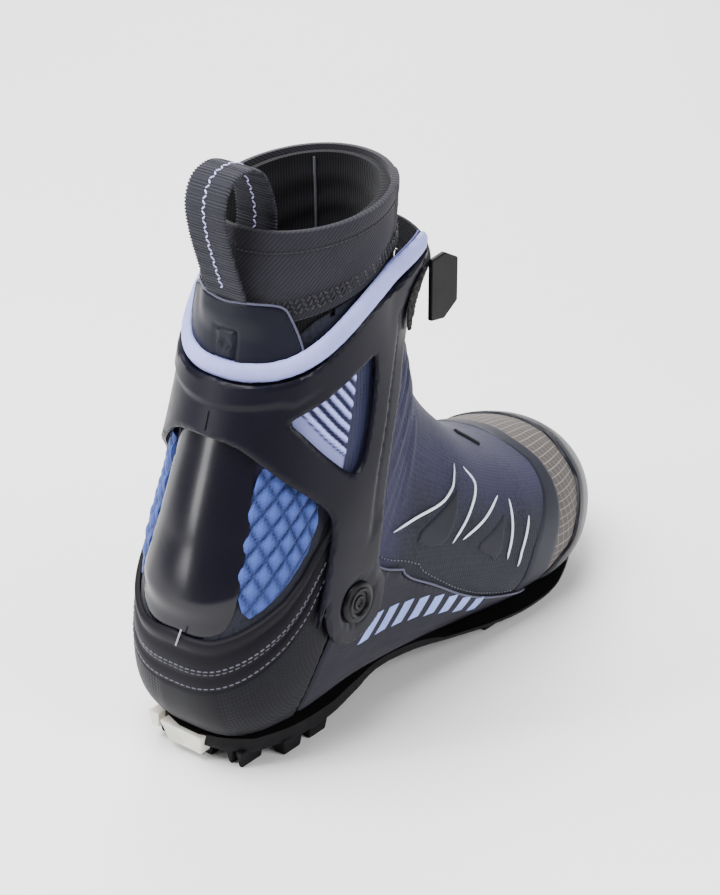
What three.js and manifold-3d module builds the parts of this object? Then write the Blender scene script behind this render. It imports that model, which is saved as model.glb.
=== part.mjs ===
// Cross-country skate boot for the right foot, built as separate pieces.
// Millimetres, +Z up, +Y from heel to toe, +X outwards (lateral). The ground is z = 0.
// The foot room is one smooth surface, place(t, phi): t runs 0 at the toe tip, back over the
// instep and up to 1 at the shaft's rim, and phi runs 0 at the front or top line, 90 on the
// lateral side, 180 along the bottom and back. Every soft or moulded wall is a layer outside it.
import * as THREE from 'three';
import { mergeVertices } from 'three/addons/utils/BufferGeometryUtils.js';
import Module from 'manifold-3d';

const wasm = await Module();
wasm.setup();

// ---- driving dimensions, mm ----
const FOOT_LENGTH = 275;        // heel datum to the toe tip of the foot room
const SHAFT_HEIGHT = 174;       // ankle pivot up to the shaft's front rim
const FOOT_WIDTH = 1.0;         // girth of the last against the drawn one
const ORIGIN_Y = 34;            // heel datum to the middle of the heel tread, the frame's origin
const PIVOT_Y = 57;             // ankle pivot, ahead of the heel datum
const PIVOT_Z = 72;             // ankle pivot, above the ground
const LINER_WALL = 4.0;
const LINER_SEAMS = [82, 205];  // where the inner boot's heel, middle and toe are sewn together
const COVER_WALL = 1.6;         // softshell cover, toe fabric, gaiter
const PANEL_WALL = 1.6;         // moulded side panels, bumper
const COLLAR_WALL = 2.1;
const PAD_WALL = 2.9;           // ribbed pad behind the cuff
const SHELL_WALL = 2.6;         // plastic cuff
const SHELL_CLEAR = 0.6;        // pad to cuff shell
const GAP = 0.4;                // between sewn or glued layers
const FOOTBED_WALL = 2.8;
const PLATE_WALL = 1.8;         // stiff plate over the outsole
const LEAN_FORWARD = 15;        // cuff travel, degrees
const LEAN_BACK = 5;
const SPLIT_FRONT = 30;         // top of the foot part's walls ahead of the pivot, degrees up
const SPLIT_BACK = 8;           // and behind it
const PIVOT_R = 4.0;            // pivot stud
const PIVOT_RUN = 0.06;         // running clearance on the stud
const PIVOT_FLANGE_R = 8;
const PIVOT_CAP_R = 15;
const PIVOT_CAP_T = 2.4;
const PIVOT_SEAT_X = 50.3;      // flat seat of the cap, from the middle plane
const ARM_HEAD_R = 20;          // rounded end of the cuff's arm
const WING_FLARE = 9;           // how far the cuff's front wings stand off
const RIM_THICK = 5.8;
const RIM_HIGH_BACK = 8;
const RIM_HIGH_FRONT = 13;
const LUG_DEPTH = 5.5;          // tread, ground to the outsole's face
const RAIL_HALF = 8;            // middle rail, half width
const GROOVE_WIDE = 7;          // binding guide groove either side of it
const TOE_BAR_R = 2.2;
const TOE_BAR_Y = 260;
const TOE_BAR_Z = 6.2;
const TOE_BAR_X = -13;
const LOOP_WIDE = 22;
const LOOP_THICK = 2.2;
const TAB_THICK = 2.4;          // free end of the cuff strap
const ZIP_WIDE = 5;
const ZIP_HIGH = 1.2;
const SLIDER_LONG = 12;
const SLIDER_WIDE = 9;
const FLATNESS = 0.3;           // faces this close to one plane are joined

// ---- layers, measured outwards from the foot room ----
const COVER_IN = LINER_WALL + GAP;
const COVER_OUT = COVER_IN + COVER_WALL;
const PANEL_IN = COVER_OUT + GAP;
const PANEL_OUT = PANEL_IN + PANEL_WALL;
const PAD_IN = COVER_OUT + GAP;
const PAD_OUT = PAD_IN + PAD_WALL;
const SHELL_IN = PAD_OUT + SHELL_CLEAR;
const SHELL_OUT = SHELL_IN + SHELL_WALL;
const PLATE_OUT = COVER_IN + PLATE_WALL;

// ---- the foot room's sections ----
// top line y, z; bottom or back line y, z; half width; middle x; level of the widest place;
// squareness of the upper and the lower half
const SECTIONS = [
  [275, 34, 275, 29, 0.3, -13, 0.50, 2.0, 2.0],
  [273, 43, 273, 22, 15, -13, 0.52, 2.0, 2.3],
  [265, 52, 265, 18, 28, -12, 0.56, 2.0, 2.6],
  [246, 61, 246, 16, 40, -9, 0.60, 2.0, 3.0],
  [220, 69, 220, 15, 46, -4, 0.62, 2.0, 3.2],
  [192, 80, 188, 15, 45, 0, 0.60, 2.0, 3.2],
  [167, 95, 150, 18, 40, 3, 0.58, 2.0, 3.2],
  [148, 112, 112, 21, 37, 4, 0.56, 2.0, 3.1],
  [136, 128, 70, 22, 37, 2, 0.56, 2.1, 3.2],
  [130, 142, 27, 19, 38.5, 0, 0.54, 2.2, 3.3],
  [127, 155, 6, 28, 39, 0, 0.50, 2.3, 3.2],
  [125, 166, 3, 67, 38, 0, 0.48, 2.2, 2.5],
  [123, 178, 14, 104, 35.5, 0, 0.46, 2.1, 2.2],
  [121, 192, 26, 138, 33, 0, 0.47, 2.0, 2.1],
  [119, 208, 36, 168, 31.5, 0, 0.50, 2.0, 2.1],
  [118, 226, 43, 201, 31.5, 0, 0.50, 2.0, 2.0],
  [117, 246, 48, 235, 32, 0, 0.50, 2.0, 2.0],
];
const atY = (y) => (y * FOOT_LENGTH) / 275;
const atZ = (z) => (z > PIVOT_Z ? PIVOT_Z + ((z - PIVOT_Z) * SHAFT_HEIGHT) / 174 : z);
const TABLE = SECTIONS.map(([fy, fz, by, bz, w, cx, m, nt, nb], i) => {
  const foot = i < 9;           // only the foot grows with its length
  const y = (v) => (foot ? atY(v) : v + (atY(130) - 130) * 0.15);
  return [y(fy), atZ(fz), y(by), atZ(bz), w * FOOT_WIDTH, cx, m, nt, nb];
});

const RAD = Math.PI / 180;
const lerp = (a, b, k) => a + (b - a) * k;
const clamp01 = (v) => Math.min(1, Math.max(0, v));
const smooth = (v) => { const k = clamp01(v); return k * k * (3 - 2 * k); };

function sectionAt(t) {
  const n = TABLE.length - 1;
  const x = clamp01(t) * n;
  const i = Math.min(n - 1, Math.floor(x));
  const f = x - i;
  const row = (k) => {
    if (k < 0) return TABLE[0].map((v, j) => 2 * v - TABLE[1][j]);
    if (k > n) return TABLE[n].map((v, j) => 2 * v - TABLE[n - 1][j]);
    return TABLE[k];
  };
  const [a, b, c, d] = [row(i - 1), row(i), row(i + 1), row(i + 2)];
  return b.map((v, j) => 0.5 * (2 * v + (c[j] - a[j]) * f
    + (2 * a[j] - 5 * v + 4 * c[j] - d[j]) * f * f + (3 * v - a[j] - 3 * c[j] + d[j]) * f ** 3));
}

function place(t, phi) {
  const [fy, fz, by, bz, w, cx, m, nt, nb] = sectionAt(t);
  const c = Math.cos(phi * RAD);
  const s = Math.sin(phi * RAD);
  const n = c > 0 ? nt : nb;
  const cs = Math.sign(c) * Math.abs(c) ** (2 / n);
  const sn = Math.sign(s) * Math.abs(s) ** (2 / n);
  const level = c > 0 ? m * (1 - cs) : m - (1 - m) * cs;
  return new THREE.Vector3(cx + w * sn, lerp(fy, by, level), lerp(fz, bz, level));
}

function frameAt(t, phi) {
  const e = 0.004;
  const up = place(Math.min(1, t + e), phi).sub(place(Math.max(0, t - e), phi));
  const round = place(t, phi + 1.5).sub(place(t, phi - 1.5));
  const out = new THREE.Vector3().crossVectors(up, round).normalize();
  return { at: place(t, phi), up: up.normalize(), out };
}

function outside(t, phi, d) {
  const f = frameAt(t, phi);
  return f.at.addScaledVector(f.out, d);
}

// the cuff's wings open outwards towards the front and the top
const flare = (t, phi) => {
  const p = Math.abs(((phi + 180) % 360 + 360) % 360 - 180);
  return WING_FLARE * smooth((78 - p) / 36) * smooth((t - 0.8) / 0.12);
};

// ---- solids ----
function solid(points, faces) {
  const flat = new Float32Array(points.length * 3);
  points.forEach((p, i) => flat.set([p.x, p.y, p.z], 3 * i));
  let volume = 0;
  for (const [a, b, c] of faces) {
    volume += points[a].dot(new THREE.Vector3().crossVectors(points[b], points[c]));
  }
  const out = volume < 0 ? faces.map(([a, b, c]) => [a, c, b]) : faces;
  return new wasm.Manifold(new wasm.Mesh({
    numProp: 3, vertProperties: flat, triVerts: new Uint32Array(out.flat()) }));
}

function fromGeometry(geometry, matrix) {
  const g = geometry.clone();
  for (const key of Object.keys(g.attributes)) if (key !== 'position') g.deleteAttribute(key);
  const m = mergeVertices(g, 1e-4);
  if (matrix) m.applyMatrix4(matrix);
  return new wasm.Manifold(new wasm.Mesh({ numProp: 3,
    vertProperties: new Float32Array(m.attributes.position.array),
    triVerts: new Uint32Array(m.index.array) }));
}

// rings of points joined into one closed skin; the ends are closed with fans
function rings(rows) {
  const points = rows.flat();
  const n = rows[0].length;
  const faces = [];
  for (let i = 0; i + 1 < rows.length; i += 1) {
    for (let j = 0; j < n; j += 1) {
      const [a, b] = [i * n + j, i * n + ((j + 1) % n)];
      faces.push([a, b, b + n], [a, b + n, a + n]);
    }
  }
  for (const [row, turn] of [[0, true], [rows.length - 1, false]]) {
    const mid = new THREE.Vector3();
    rows[row].forEach((p) => mid.addScaledVector(p, 1 / n));
    points.push(mid);
    const c = points.length - 1;
    for (let j = 0; j < n; j += 1) {
      const [a, b] = [row * n + j, row * n + ((j + 1) % n)];
      faces.push(turn ? [c, b, a] : [c, a, b]);
    }
  }
  return solid(points, faces);
}

const HALF = [25, 50, 73, 91, 99, 122, 151];
const AROUND = [0, ...HALF, 180, ...HALF.map((p) => 360 - p).reverse()];
const ALONG = Array.from({ length: 25 }, (_, i) => i / 24);
const TIP_LINES = [0, 0.15, 0.35, 0.6, 0.8, 1];

// everything inside the layer at distance d, from the toe up to edge(phi)
function sock(d, lift = 0, edge = () => 1, lines = ALONG) {
  const far = typeof d === 'function' ? d : () => d;
  const rows = lines.map((k) => AROUND.map((phi) => {
    const t = k * edge(phi);
    return outside(t, phi, far(t, phi));
  }));
  if (lift) rows.push(rows[rows.length - 1].map((p) => p.clone().add(new THREE.Vector3(0, 0, lift))));
  return rings(rows);
}

const layers = new Map();
function layer(dIn, dOut, bend) {
  const key = `${dIn} ${dOut} ${Boolean(bend)}`;
  if (!layers.has(key)) {
    const far = (d) => (bend ? (t, phi) => d + bend(t, phi) : d);
    layers.set(key, sock(far(dOut)).subtract(sock(far(dIn), 6)));
  }
  return layers.get(key);
}

// a block standing through the layers over the area between two lines of [t, phi]
function area(a, b, { from = -2, to = 24, across = 4, closed = false } = {}) {
  const nu = a.length;
  const points = [];
  const at = (side, i, j) => (side * nu + (i % nu)) * (across + 1) + j;
  for (const d of [from, to]) {
    for (let i = 0; i < nu; i += 1) {
      for (let j = 0; j <= across; j += 1) {
        const k = j / across;
        points.push(outside(lerp(a[i][0], b[i][0], k), lerp(a[i][1], b[i][1], k), d));
      }
    }
  }
  const faces = [];
  const quad = (p, q, r, s) => faces.push([p, q, r], [p, r, s]);
  const last = closed ? nu : nu - 1;
  for (let i = 0; i < last; i += 1) {
    for (let j = 0; j < across; j += 1) {
      quad(at(1, i, j), at(1, i + 1, j), at(1, i + 1, j + 1), at(1, i, j + 1));
      quad(at(0, i, j), at(0, i, j + 1), at(0, i + 1, j + 1), at(0, i + 1, j));
    }
    quad(at(0, i, 0), at(0, i + 1, 0), at(1, i + 1, 0), at(1, i, 0));
    quad(at(0, i, across), at(1, i, across), at(1, i + 1, across), at(0, i + 1, across));
  }
  if (!closed) {
    for (let j = 0; j < across; j += 1) {
      quad(at(0, 0, j), at(1, 0, j), at(1, 0, j + 1), at(0, 0, j + 1));
      quad(at(0, nu - 1, j), at(0, nu - 1, j + 1), at(1, nu - 1, j + 1), at(1, nu - 1, j));
    }
  }
  return solid(points, faces);
}

const mirror = (line) => line.map(([t, phi]) => [t, -phi]);
// a round-edged bead along points of the surface: centre d out and h up, half sizes rn and ru
function bead(path, d, h, rn, ru, sides = 6) {
  return rings(path.map(([t, phi]) => {
    const f = frameAt(t, phi);
    const value = (v) => (typeof v === 'function' ? v(t, phi) : v);
    const mid = f.at.addScaledVector(f.out, value(d)).addScaledVector(f.up, value(h));
    return Array.from({ length: sides }, (_, i) => {
      const a = (2 * Math.PI * (i + 0.5)) / sides;
      return mid.clone().addScaledVector(f.out, value(rn) * Math.cos(a))
        .addScaledVector(f.up, value(ru) * Math.sin(a));
    });
  }));
}

function box(x0, x1, y0, y1, z0, z1) {
  const g = new THREE.BoxGeometry(x1 - x0, y1 - y0, z1 - z0);
  g.translate((x0 + x1) / 2, (y0 + y1) / 2, (z0 + z1) / 2);
  return fromGeometry(g);
}

// a round bar along X
function bar(x0, x1, y, z, r, sides = 20) {
  const g = new THREE.CylinderGeometry(r, r, Math.abs(x1 - x0), sides);
  g.rotateZ(Math.PI / 2);
  g.translate((x0 + x1) / 2, y, z);
  return fromGeometry(g);
}

// an outline in the Y-Z plane carried along X
function sidePrism(outline, x0, x1) {
  const shape = new THREE.Shape(outline.map(([y, z]) => new THREE.Vector2(y, z)));
  const g = new THREE.ExtrudeGeometry(shape, { depth: x1 - x0, bevelEnabled: false });
  const m = new THREE.Matrix4().set(0, 0, 1, x0, 1, 0, 0, 0, 0, 1, 0, 0, 0, 0, 0, 1);
  return fromGeometry(g, m);
}

// the slice of space between two directions from the pivot axis, degrees up from forwards
function wedge(from, to, reach = 420) {
  const outline = [[PIVOT_Y, PIVOT_Z]];
  for (let i = 0; i <= 8; i += 1) {
    const a = lerp(from, to, i / 8) * RAD;
    outline.push([PIVOT_Y + reach * Math.cos(a), PIVOT_Z + reach * Math.sin(a)]);
  }
  return sidePrism(outline, -90, 90);
}
const footSpace = wedge(180 - SPLIT_BACK, 360 + SPLIT_FRONT);
const shaftSpace = wedge(SPLIT_FRONT + LEAN_FORWARD + 1, 180 - SPLIT_BACK - LEAN_BACK - 1);

const group = new THREE.Group();
group.name = 'cross_country_boot';

// the largest of a cut's bodies: slivers left by a cut are trimmed away
function main(body) {
  const bodies = body.decompose();
  const size = bodies.map((b) => b.volume());
  return bodies[size.indexOf(Math.max(...size))].simplify(FLATNESS);
}

function add(name, body, colour, roughness, metalness = 0) {
  const mesh = main(body).getMesh();
  const stride = mesh.numProp;
  const count = mesh.vertProperties.length / stride;
  const position = new Float32Array(count * 3);
  for (let i = 0; i < count; i += 1) {
    for (let k = 0; k < 3; k += 1) position[3 * i + k] = mesh.vertProperties[stride * i + k];
  }
  const g = new THREE.BufferGeometry();
  g.setAttribute('position', new THREE.BufferAttribute(position, 3));
  g.setIndex(new THREE.BufferAttribute(new Uint32Array(mesh.triVerts), 1));
  g.computeVertexNormals();
  const material = new THREE.MeshStandardMaterial({ color: colour, roughness, metalness });
  const part = new THREE.Mesh(g, material);
  part.name = name;
  group.add(part);
}

// ---- edges shared by neighbouring pieces, rows of [phi, ...t] ----
const SOLE_EDGE = 149;          // where the walls tuck into the sole
const STEP = 0.004;             // seam between two pieces of one layer, in t
const COVER_TOP = [[0, 0.462], [30, 0.468], [50, 0.49], [80, 0.535], [104, 0.545], [149, 0.53]];
const TOE_SEAM = [[0, 0.255], [19, 0.261], [38, 0.259], [57, 0.268], [75, 0.281], [96, 0.295],
  [125, 0.302], [149, 0.302]];
const BUMPER_TOP = [[0, 0.162], [24, 0.167], [46, 0.19], [64, 0.2], [79, 0.225], [96, 0.25],
  [104, 0.275], [122, 0.288], [150, 0.288], [180, 0.288]];
const fold = (phi) => Math.abs(((phi + 180) % 360 + 360) % 360 - 180);
const readEdge = (rows, k = 1) => (phi) => {
  const p = fold(phi);
  let i = 1;
  while (i < rows.length - 1 && rows[i][0] < p) i += 1;
  const f = clamp01((p - rows[i - 1][0]) / (rows[i][0] - rows[i - 1][0]));
  return lerp(rows[i - 1][k], rows[i][k], f);
};

// the same edge on both sides of the boot, through the front or through the back
const throughFront = (angles) => [...angles.filter((p) => p > 0).map((p) => -p).reverse(), ...angles];
const throughBack = (angles) => [...angles, ...angles.filter((p) => p < 180).map((p) => 360 - p)
  .reverse()];
const aroundAll = (angles) => throughBack(angles).slice(0, -1);

// the area between two edges, each a function of phi, with a wall at each listed phi
function strip(low, high, angles, options) {
  return area(angles.map((p) => [low(p), p]), angles.map((p) => [high(p), p]), options);
}

// ---- lining ----
function buildLining() {
  const lining = layer(0, LINER_WALL);
  const boss = bar(-90, 90, PIVOT_Y, PIVOT_Z, PIVOT_FLANGE_R + 2);
  const foot = lining.intersect(footSpace).subtract(boss);
  const [heelSeam, toeSeam] = LINER_SEAMS.map(atY);
  const panel = (from, to) => foot.intersect(box(-90, 90, from, to, -20, 200));
  add('liner_heel', panel(-60, heelSeam), 0x2b2d35, 0.9);
  add('liner_foot', panel(heelSeam + GAP, toeSeam), 0x2b2d35, 0.9);
  add('liner_toe', panel(toeSeam + GAP, 400), 0x2b2d35, 0.9);
  add('liner_shaft', lining.intersect(shaftSpace).subtract(boss), 0x2b2d35, 0.9);
  const inside = ALONG.filter((t) => t > 0.06 && t < 0.7);
  const bed = sock(-GAP, 0, () => 1, inside).subtract(sock(-GAP - FOOTBED_WALL, 6, () => 1, inside));
  const sole = inside.filter((t) => t > 0.08 && t < 0.61);
  const floor = area(sole.map((t) => [t, 228]), sole.map((t) => [t, 132]), { from: -8, to: 3 });
  add('footbed', bed.intersect(floor), 0x3d4048, 0.85);
}

// ---- fabric cover and stretch ankle ----
const GAITER_LOW = [[0, 0.466], [25, 0.471], [50, 0.494], [73, 0.529], [91, 0.544], [102, 0.549],
  [109, 0.62], [113, 0.66], [180, 0.66]];
const GAITER_MID = [[0, 0.64], [25, 0.65], [50, 0.675], [73, 0.704], [91, 0.718], [122, 0.755],
  [151, 0.78], [180, 0.785]];
const BAND_LOW = 0.929;
const FOLD = [0, 25, 50, 73, 91, 99, 122, 151, 180];
const UNDERFOOT = ALONG.filter((t) => t < 0.58);

function underfoot(grow, start = 0) {
  const lines = [start, ...UNDERFOOT.filter((t) => t > start), 0.581 + grow / 200];
  return area(lines.map((t) => [t, 150 - grow]), lines.map((t) => [t, 210 + grow]),
    { from: 1, to: 12, across: 3 });
}

function buildCover() {
  const fabric = layer(COVER_IN, COVER_OUT);
  const stud = bar(-90, 90, PIVOT_Y, PIVOT_Z, PIVOT_FLANGE_R + GAP);
  const seam = (p) => readEdge(TOE_SEAM)(p) + STEP;
  const vamp = strip(seam, readEdge(COVER_TOP), throughFront([0, 25, 50, 73, 91, 99, 122, 149]));
  add('vamp_cover', fabric.intersect(vamp).intersect(footSpace), 0x3a3a48, 0.8);
  const toe = sock(COVER_OUT + 2, 0, readEdge(TOE_SEAM), TIP_LINES);
  add('toe_cap', fabric.intersect(toe).subtract(underfoot(1.5)), 0x6c6662, 0.75);
  const round = { closed: true, from: 1, to: 9 };
  const mid = readEdge(GAITER_MID);
  const ankle = strip(readEdge(GAITER_LOW), (p) => mid(p) - STEP,
    aroundAll([0, 25, 50, 73, 91, 102, 109, 113, 122, 151, 180]), { ...round, across: 4 });
  add('ankle_gaiter', fabric.intersect(ankle).subtract(stud), 0x34343f, 0.85);
  const sleeve = strip(mid, () => BAND_LOW, aroundAll(FOLD), { ...round, across: 5 });
  add('gaiter_sleeve', fabric.intersect(sleeve), 0x2f3038, 0.85);
  const band = strip(() => BAND_LOW + STEP, () => 1, aroundAll(FOLD), { ...round, across: 2 });
  const hem = sock(COVER_OUT + 0.7).subtract(sock(COVER_IN, 6));
  add('gaiter_band', hem.intersect(band), 0x33353c, 0.9);
}

// ---- moulded walls of the foot ----
const COUNTER_TOP = [[90, 0.668], [104, 0.664], [113, 0.652], [180, 0.65]];
const COUNTER_LOW = [[90, 0.626], [99, 0.616], [111, 0.5995], [122, 0.588], [135, 0.574],
  [148, 0.558], [149.5, 0.589], [180, 0.592]];
const COLLAR_TOP = [[104, 0.697], [110, 0.692], [116, 0.685], [124, 0.681], [160, 0.682],
  [180, 0.688]];
const PANEL_HIGH = [[0.622, 88], [0.5833, 87.6], [0.5417, 88.5], [0.5, 90.8], [0.4583, 95.5],
  [0.4167, 104], [0.375, 112.5], [0.3333, 121], [0.306, 130]];
const PANEL_LOW = [0.548, 0.535, 0.5185, 0.49, 0.4583, 0.4167, 0.375, 0.3333, 0.306]
  .map((t) => [t, SOLE_EDGE]);

function buildWalls() {
  const wall = layer(PANEL_IN, PANEL_OUT);
  const stud = bar(-90, 90, PIVOT_Y, PIVOT_Z, PIVOT_R + 0.2);
  for (const [side, turn] of [['lateral', (l) => l], ['medial', mirror]]) {
    const panel = area(turn(PANEL_HIGH), turn(PANEL_LOW), { from: 3, to: 12 });
    add(`side_panel_${side}`, wall.intersect(panel).subtract(stud), 0x23263a, 0.45);
  }
  const tip = sock(PANEL_OUT + 2, 0, readEdge(BUMPER_TOP), TIP_LINES);
  const bumper = wall.intersect(tip).subtract(underfoot(0.6));
  add('toe_bumper', bumper, 0x24262e, 0.35);
  const cup = strip(readEdge(COUNTER_LOW), readEdge(COUNTER_TOP),
    throughBack([91, 99, 105, 111, 122, 135, 148, 149.5, 165, 180]), { from: 1, to: 12 });
  const counter = layer(COVER_IN, PANEL_OUT).intersect(cup).subtract(counterRoom());
  add('heel_counter', counter, 0x1d1f2b, 0.55);
  const ring = strip((p) => readEdge(COUNTER_TOP)(p) + STEP, readEdge(COLLAR_TOP),
    throughBack([104, 110, 116, 124, 137, 151, 165, 180]), { from: 3, to: 12, across: 2 });
  add('counter_collar', layer(PANEL_IN, PANEL_IN + COLLAR_WALL).intersect(ring), 0x1b1d28, 0.6);
  return bumper;
}

// room inside the counter's front ends for the stretch ankle and the cover
function counterRoom() {
  const line = (t) => [[t, 86], [t, 91], [t, 99], [t, 105], [t, 111], [t, 116]];
  const part = (turn) => area(turn(line(0.53)), turn(line(0.70)), { from: 1, to: PANEL_IN, across: 4 });
  return part((l) => l).add(part(mirror));
}

// ---- sole ----
// y, inner edge x, outer edge x, tread face z, top edge z
const SOLE = [
  [-4, -12, 12, 9, 17], [0, -23, 23, 7.5, 17], [9, -33, 33, 6, 16.5], [30, -38.5, 38.5, 5.5, 16],
  [55, -39, 39, 5.5, 16], [72, -37, 37.5, 7.5, 17.5], [92, -35.5, 37, 12, 20],
  [115, -37, 40.5, 12.5, 20], [140, -42, 46, 10, 17], [165, -48, 50.5, 7, 14.5],
  [190, -53, 53.5, 5.5, 13.5], [215, -56.5, 52, 5.5, 14], [240, -55.5, 42.5, 6.5, 17],
  [258, -48.5, 29.5, 8.5, 20], [271, -38, 14, 10.5, 23], [280, -25, -1, 12.5, 25],
  [284.5, -17, -9, 14, 26],
];
const EDGE = 3;                 // bevel under the sole's edge

function soleBody() {
  return rings(SOLE.map(([y, a, b, z, top]) => [
    [a + EDGE, z], [b - EDGE, z], [b, z + EDGE], [b, top], [a, top], [a, z + EDGE],
  ].map(([x, h]) => new THREE.Vector3(x, y > 0 ? atY(y) : y, h))));
}

function soleAt(y) {
  const rows = SOLE.map((r) => [r[0] > 0 ? atY(r[0]) : r[0], ...r.slice(1)]);
  let i = 1;
  while (i < rows.length - 1 && rows[i][0] < y) i += 1;
  const f = (y - rows[i - 1][0]) / (rows[i][0] - rows[i - 1][0]);
  return rows[i].map((v, k) => lerp(rows[i - 1][k], v, f));
}

// one tread block: reaches from the ground into the sole, narrower at the ground
function lug(x0, x1, y0, y1, foot = 0, slope = 1.2) {
  const top = LUG_DEPTH + 2.6 + foot;
  const row = (z, s) => [[x0 + s, y0 + s], [x1 - s, y0 + s], [x1 - s, y1 - s], [x0 + s, y1 - s]]
    .map(([x, y]) => new THREE.Vector3(x, y, z));
  return rings([row(foot, slope), row(top, 0)]);
}

function tread() {
  const lugs = [];
  const inner = RAIL_HALF + GROOVE_WIDE;
  for (const [y0, y1, foot] of [[12, 25, 0], [29, 42, 0], [46, 59, 0], [168, 181, 0], [185, 199, 0],
    [203, 217, 0], [221, 235, 0.6]]) {
    const at = soleAt(atY((y0 + y1) / 2));
    const narrow = y0 < 20 ? 6 : 3.5;
    lugs.push(lug(inner, at[2] - narrow, atY(y0), atY(y1), foot));
    lugs.push(lug(at[1] + narrow, -inner, atY(y0), atY(y1), foot));
  }
  lugs.push(lug(-RAIL_HALF, RAIL_HALF, atY(9), atY(59), 0));
  lugs.push(lug(-RAIL_HALF, RAIL_HALF, atY(168), atY(238), 0.6));
  return lugs;
}

const BLOCK = { half: 18, back: 246, front: 271, low: 2.4, high: 10.6, cheek: 5 };
const toeBlockSpace = (grow) => box(TOE_BAR_X - BLOCK.half - grow, TOE_BAR_X + BLOCK.half + grow,
  atY(BLOCK.back) - grow, atY(BLOCK.front) + grow, BLOCK.low - grow - 4, BLOCK.high + grow);
const INSERT = [[-2, 9.2], [22, 9.2], [22, 13], [-2, 15.4]];

function buildSole(bumper) {
  const lines = [0, 0.0417, 0.0833, 0.125, 0.1667, 0.2083, 0.25, 0.3333, 0.4167, 0.5, 0.5833, 0.65];
  const wall = (edge) => area(lines.map((t) => [t, edge * 20]), lines.map((t) => [t, edge * 150.5]),
    { from: 0, to: PANEL_OUT + GAP, across: 10 });
  const cup = strip(() => 0.575, () => 0.76, [134, 142, 151, 165, 180, 195, 209, 218, 226],
    { from: 0, to: PANEL_OUT + GAP, across: 6 });
  const tip = sock(PANEL_OUT + GAP + 0.6, 0, () => 0.12, [0, 0.25, 0.5, 0.75, 1]);
  const insertCut = box(-25.3, 25.3, -12, 22.3, 8.9, 15.7);
  let sole = soleBody().subtract(sock(PLATE_OUT + GAP)).subtract(wall(1)).subtract(wall(-1))
    .subtract(cup).subtract(tip).subtract(toeBlockSpace(GAP)).subtract(insertCut);
  const cut = sock(PLATE_OUT + GAP).add(toeBlockSpace(GAP)).add(insertCut);
  for (const block of tread()) sole = sole.add(block.subtract(cut));
  sole = sole.subtract(bumper);
  add('outsole', sole, 0x17181b, 0.85);
  const insert = soleBody().intersect(box(-25, 25, -12, 22, 9.2, 15.4))
    .subtract(sock(PLATE_OUT + GAP)).subtract(cup);
  add('heel_insert', insert, 0xd8d6cf, 0.5);
  add('sole_plate', layer(COVER_IN, PLATE_OUT).intersect(underfoot(0, 0.03)), 0x26272c, 0.5);
}

function buildToeBlock() {
  const y = atY(TOE_BAR_Y);
  const inner = BLOCK.half - BLOCK.cheek;
  const notch = box(TOE_BAR_X - inner, TOE_BAR_X + inner, y - 10, y + 7, -2, BLOCK.high - 1.6);
  const hole = bar(TOE_BAR_X - inner - 4, TOE_BAR_X + inner + 4, y, TOE_BAR_Z, TOE_BAR_R + 0.02, 20);
  const block = box(TOE_BAR_X - BLOCK.half, TOE_BAR_X + BLOCK.half, atY(BLOCK.back), atY(BLOCK.front),
    BLOCK.low, BLOCK.high).subtract(sock(PLATE_OUT + GAP)).subtract(notch).subtract(hole);
  add('toe_block', block, 0x202226, 0.45);
  add('toe_bar', bar(TOE_BAR_X - inner - 3.9, TOE_BAR_X + inner + 3.9, y, TOE_BAR_Z, TOE_BAR_R, 20),
    0x9a9da3, 0.3, 1);
}

// ---- cuff ----
// phi, lower edge t, upper edge t
const CUFF = [[42, 0.842, 0.93], [46, 0.825, 0.938], [50, 0.814, 0.938], [57, 0.803, 0.926],
  [62, 0.791, 0.914], [68, 0.756, 0.905], [73, 0.718, 0.901], [77.5, 0.682, 0.902],
  [82.5, 0.647, 0.904], [88, 0.635, 0.905], [98, 0.635, 0.901], [102, 0.66, 0.896],
  [104.5, 0.705, 0.894], [108.5, 0.721, 0.891], [120.5, 0.756, 0.882], [130.5, 0.777, 0.878],
  [143.5, 0.802, 0.878], [157.5, 0.823, 0.879], [171.5, 0.83, 0.88], [180, 0.829, 0.882]];
const PAD = [[44, 0.852, 0.929], [50, 0.832, 0.936], [57, 0.815, 0.924], [62, 0.80, 0.912],
  [68, 0.775, 0.903], [75, 0.745, 0.899], [82, 0.73, 0.902], [95, 0.722, 0.901],
  [108, 0.733, 0.889], [120, 0.762, 0.88], [135, 0.785, 0.876], [150, 0.805, 0.876],
  [165, 0.815, 0.877], [180, 0.818, 0.88]];
const WINDOW_LOW = [[0.731, 97], [0.737, 99.5], [0.747, 102], [0.771, 110.5], [0.794, 118.5],
  [0.826, 133]];
const WINDOW_HIGH = [[0.737, 94.5], [0.791, 91], [0.836, 88.5], [0.842, 103], [0.838, 118],
  [0.832, 133]];

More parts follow.
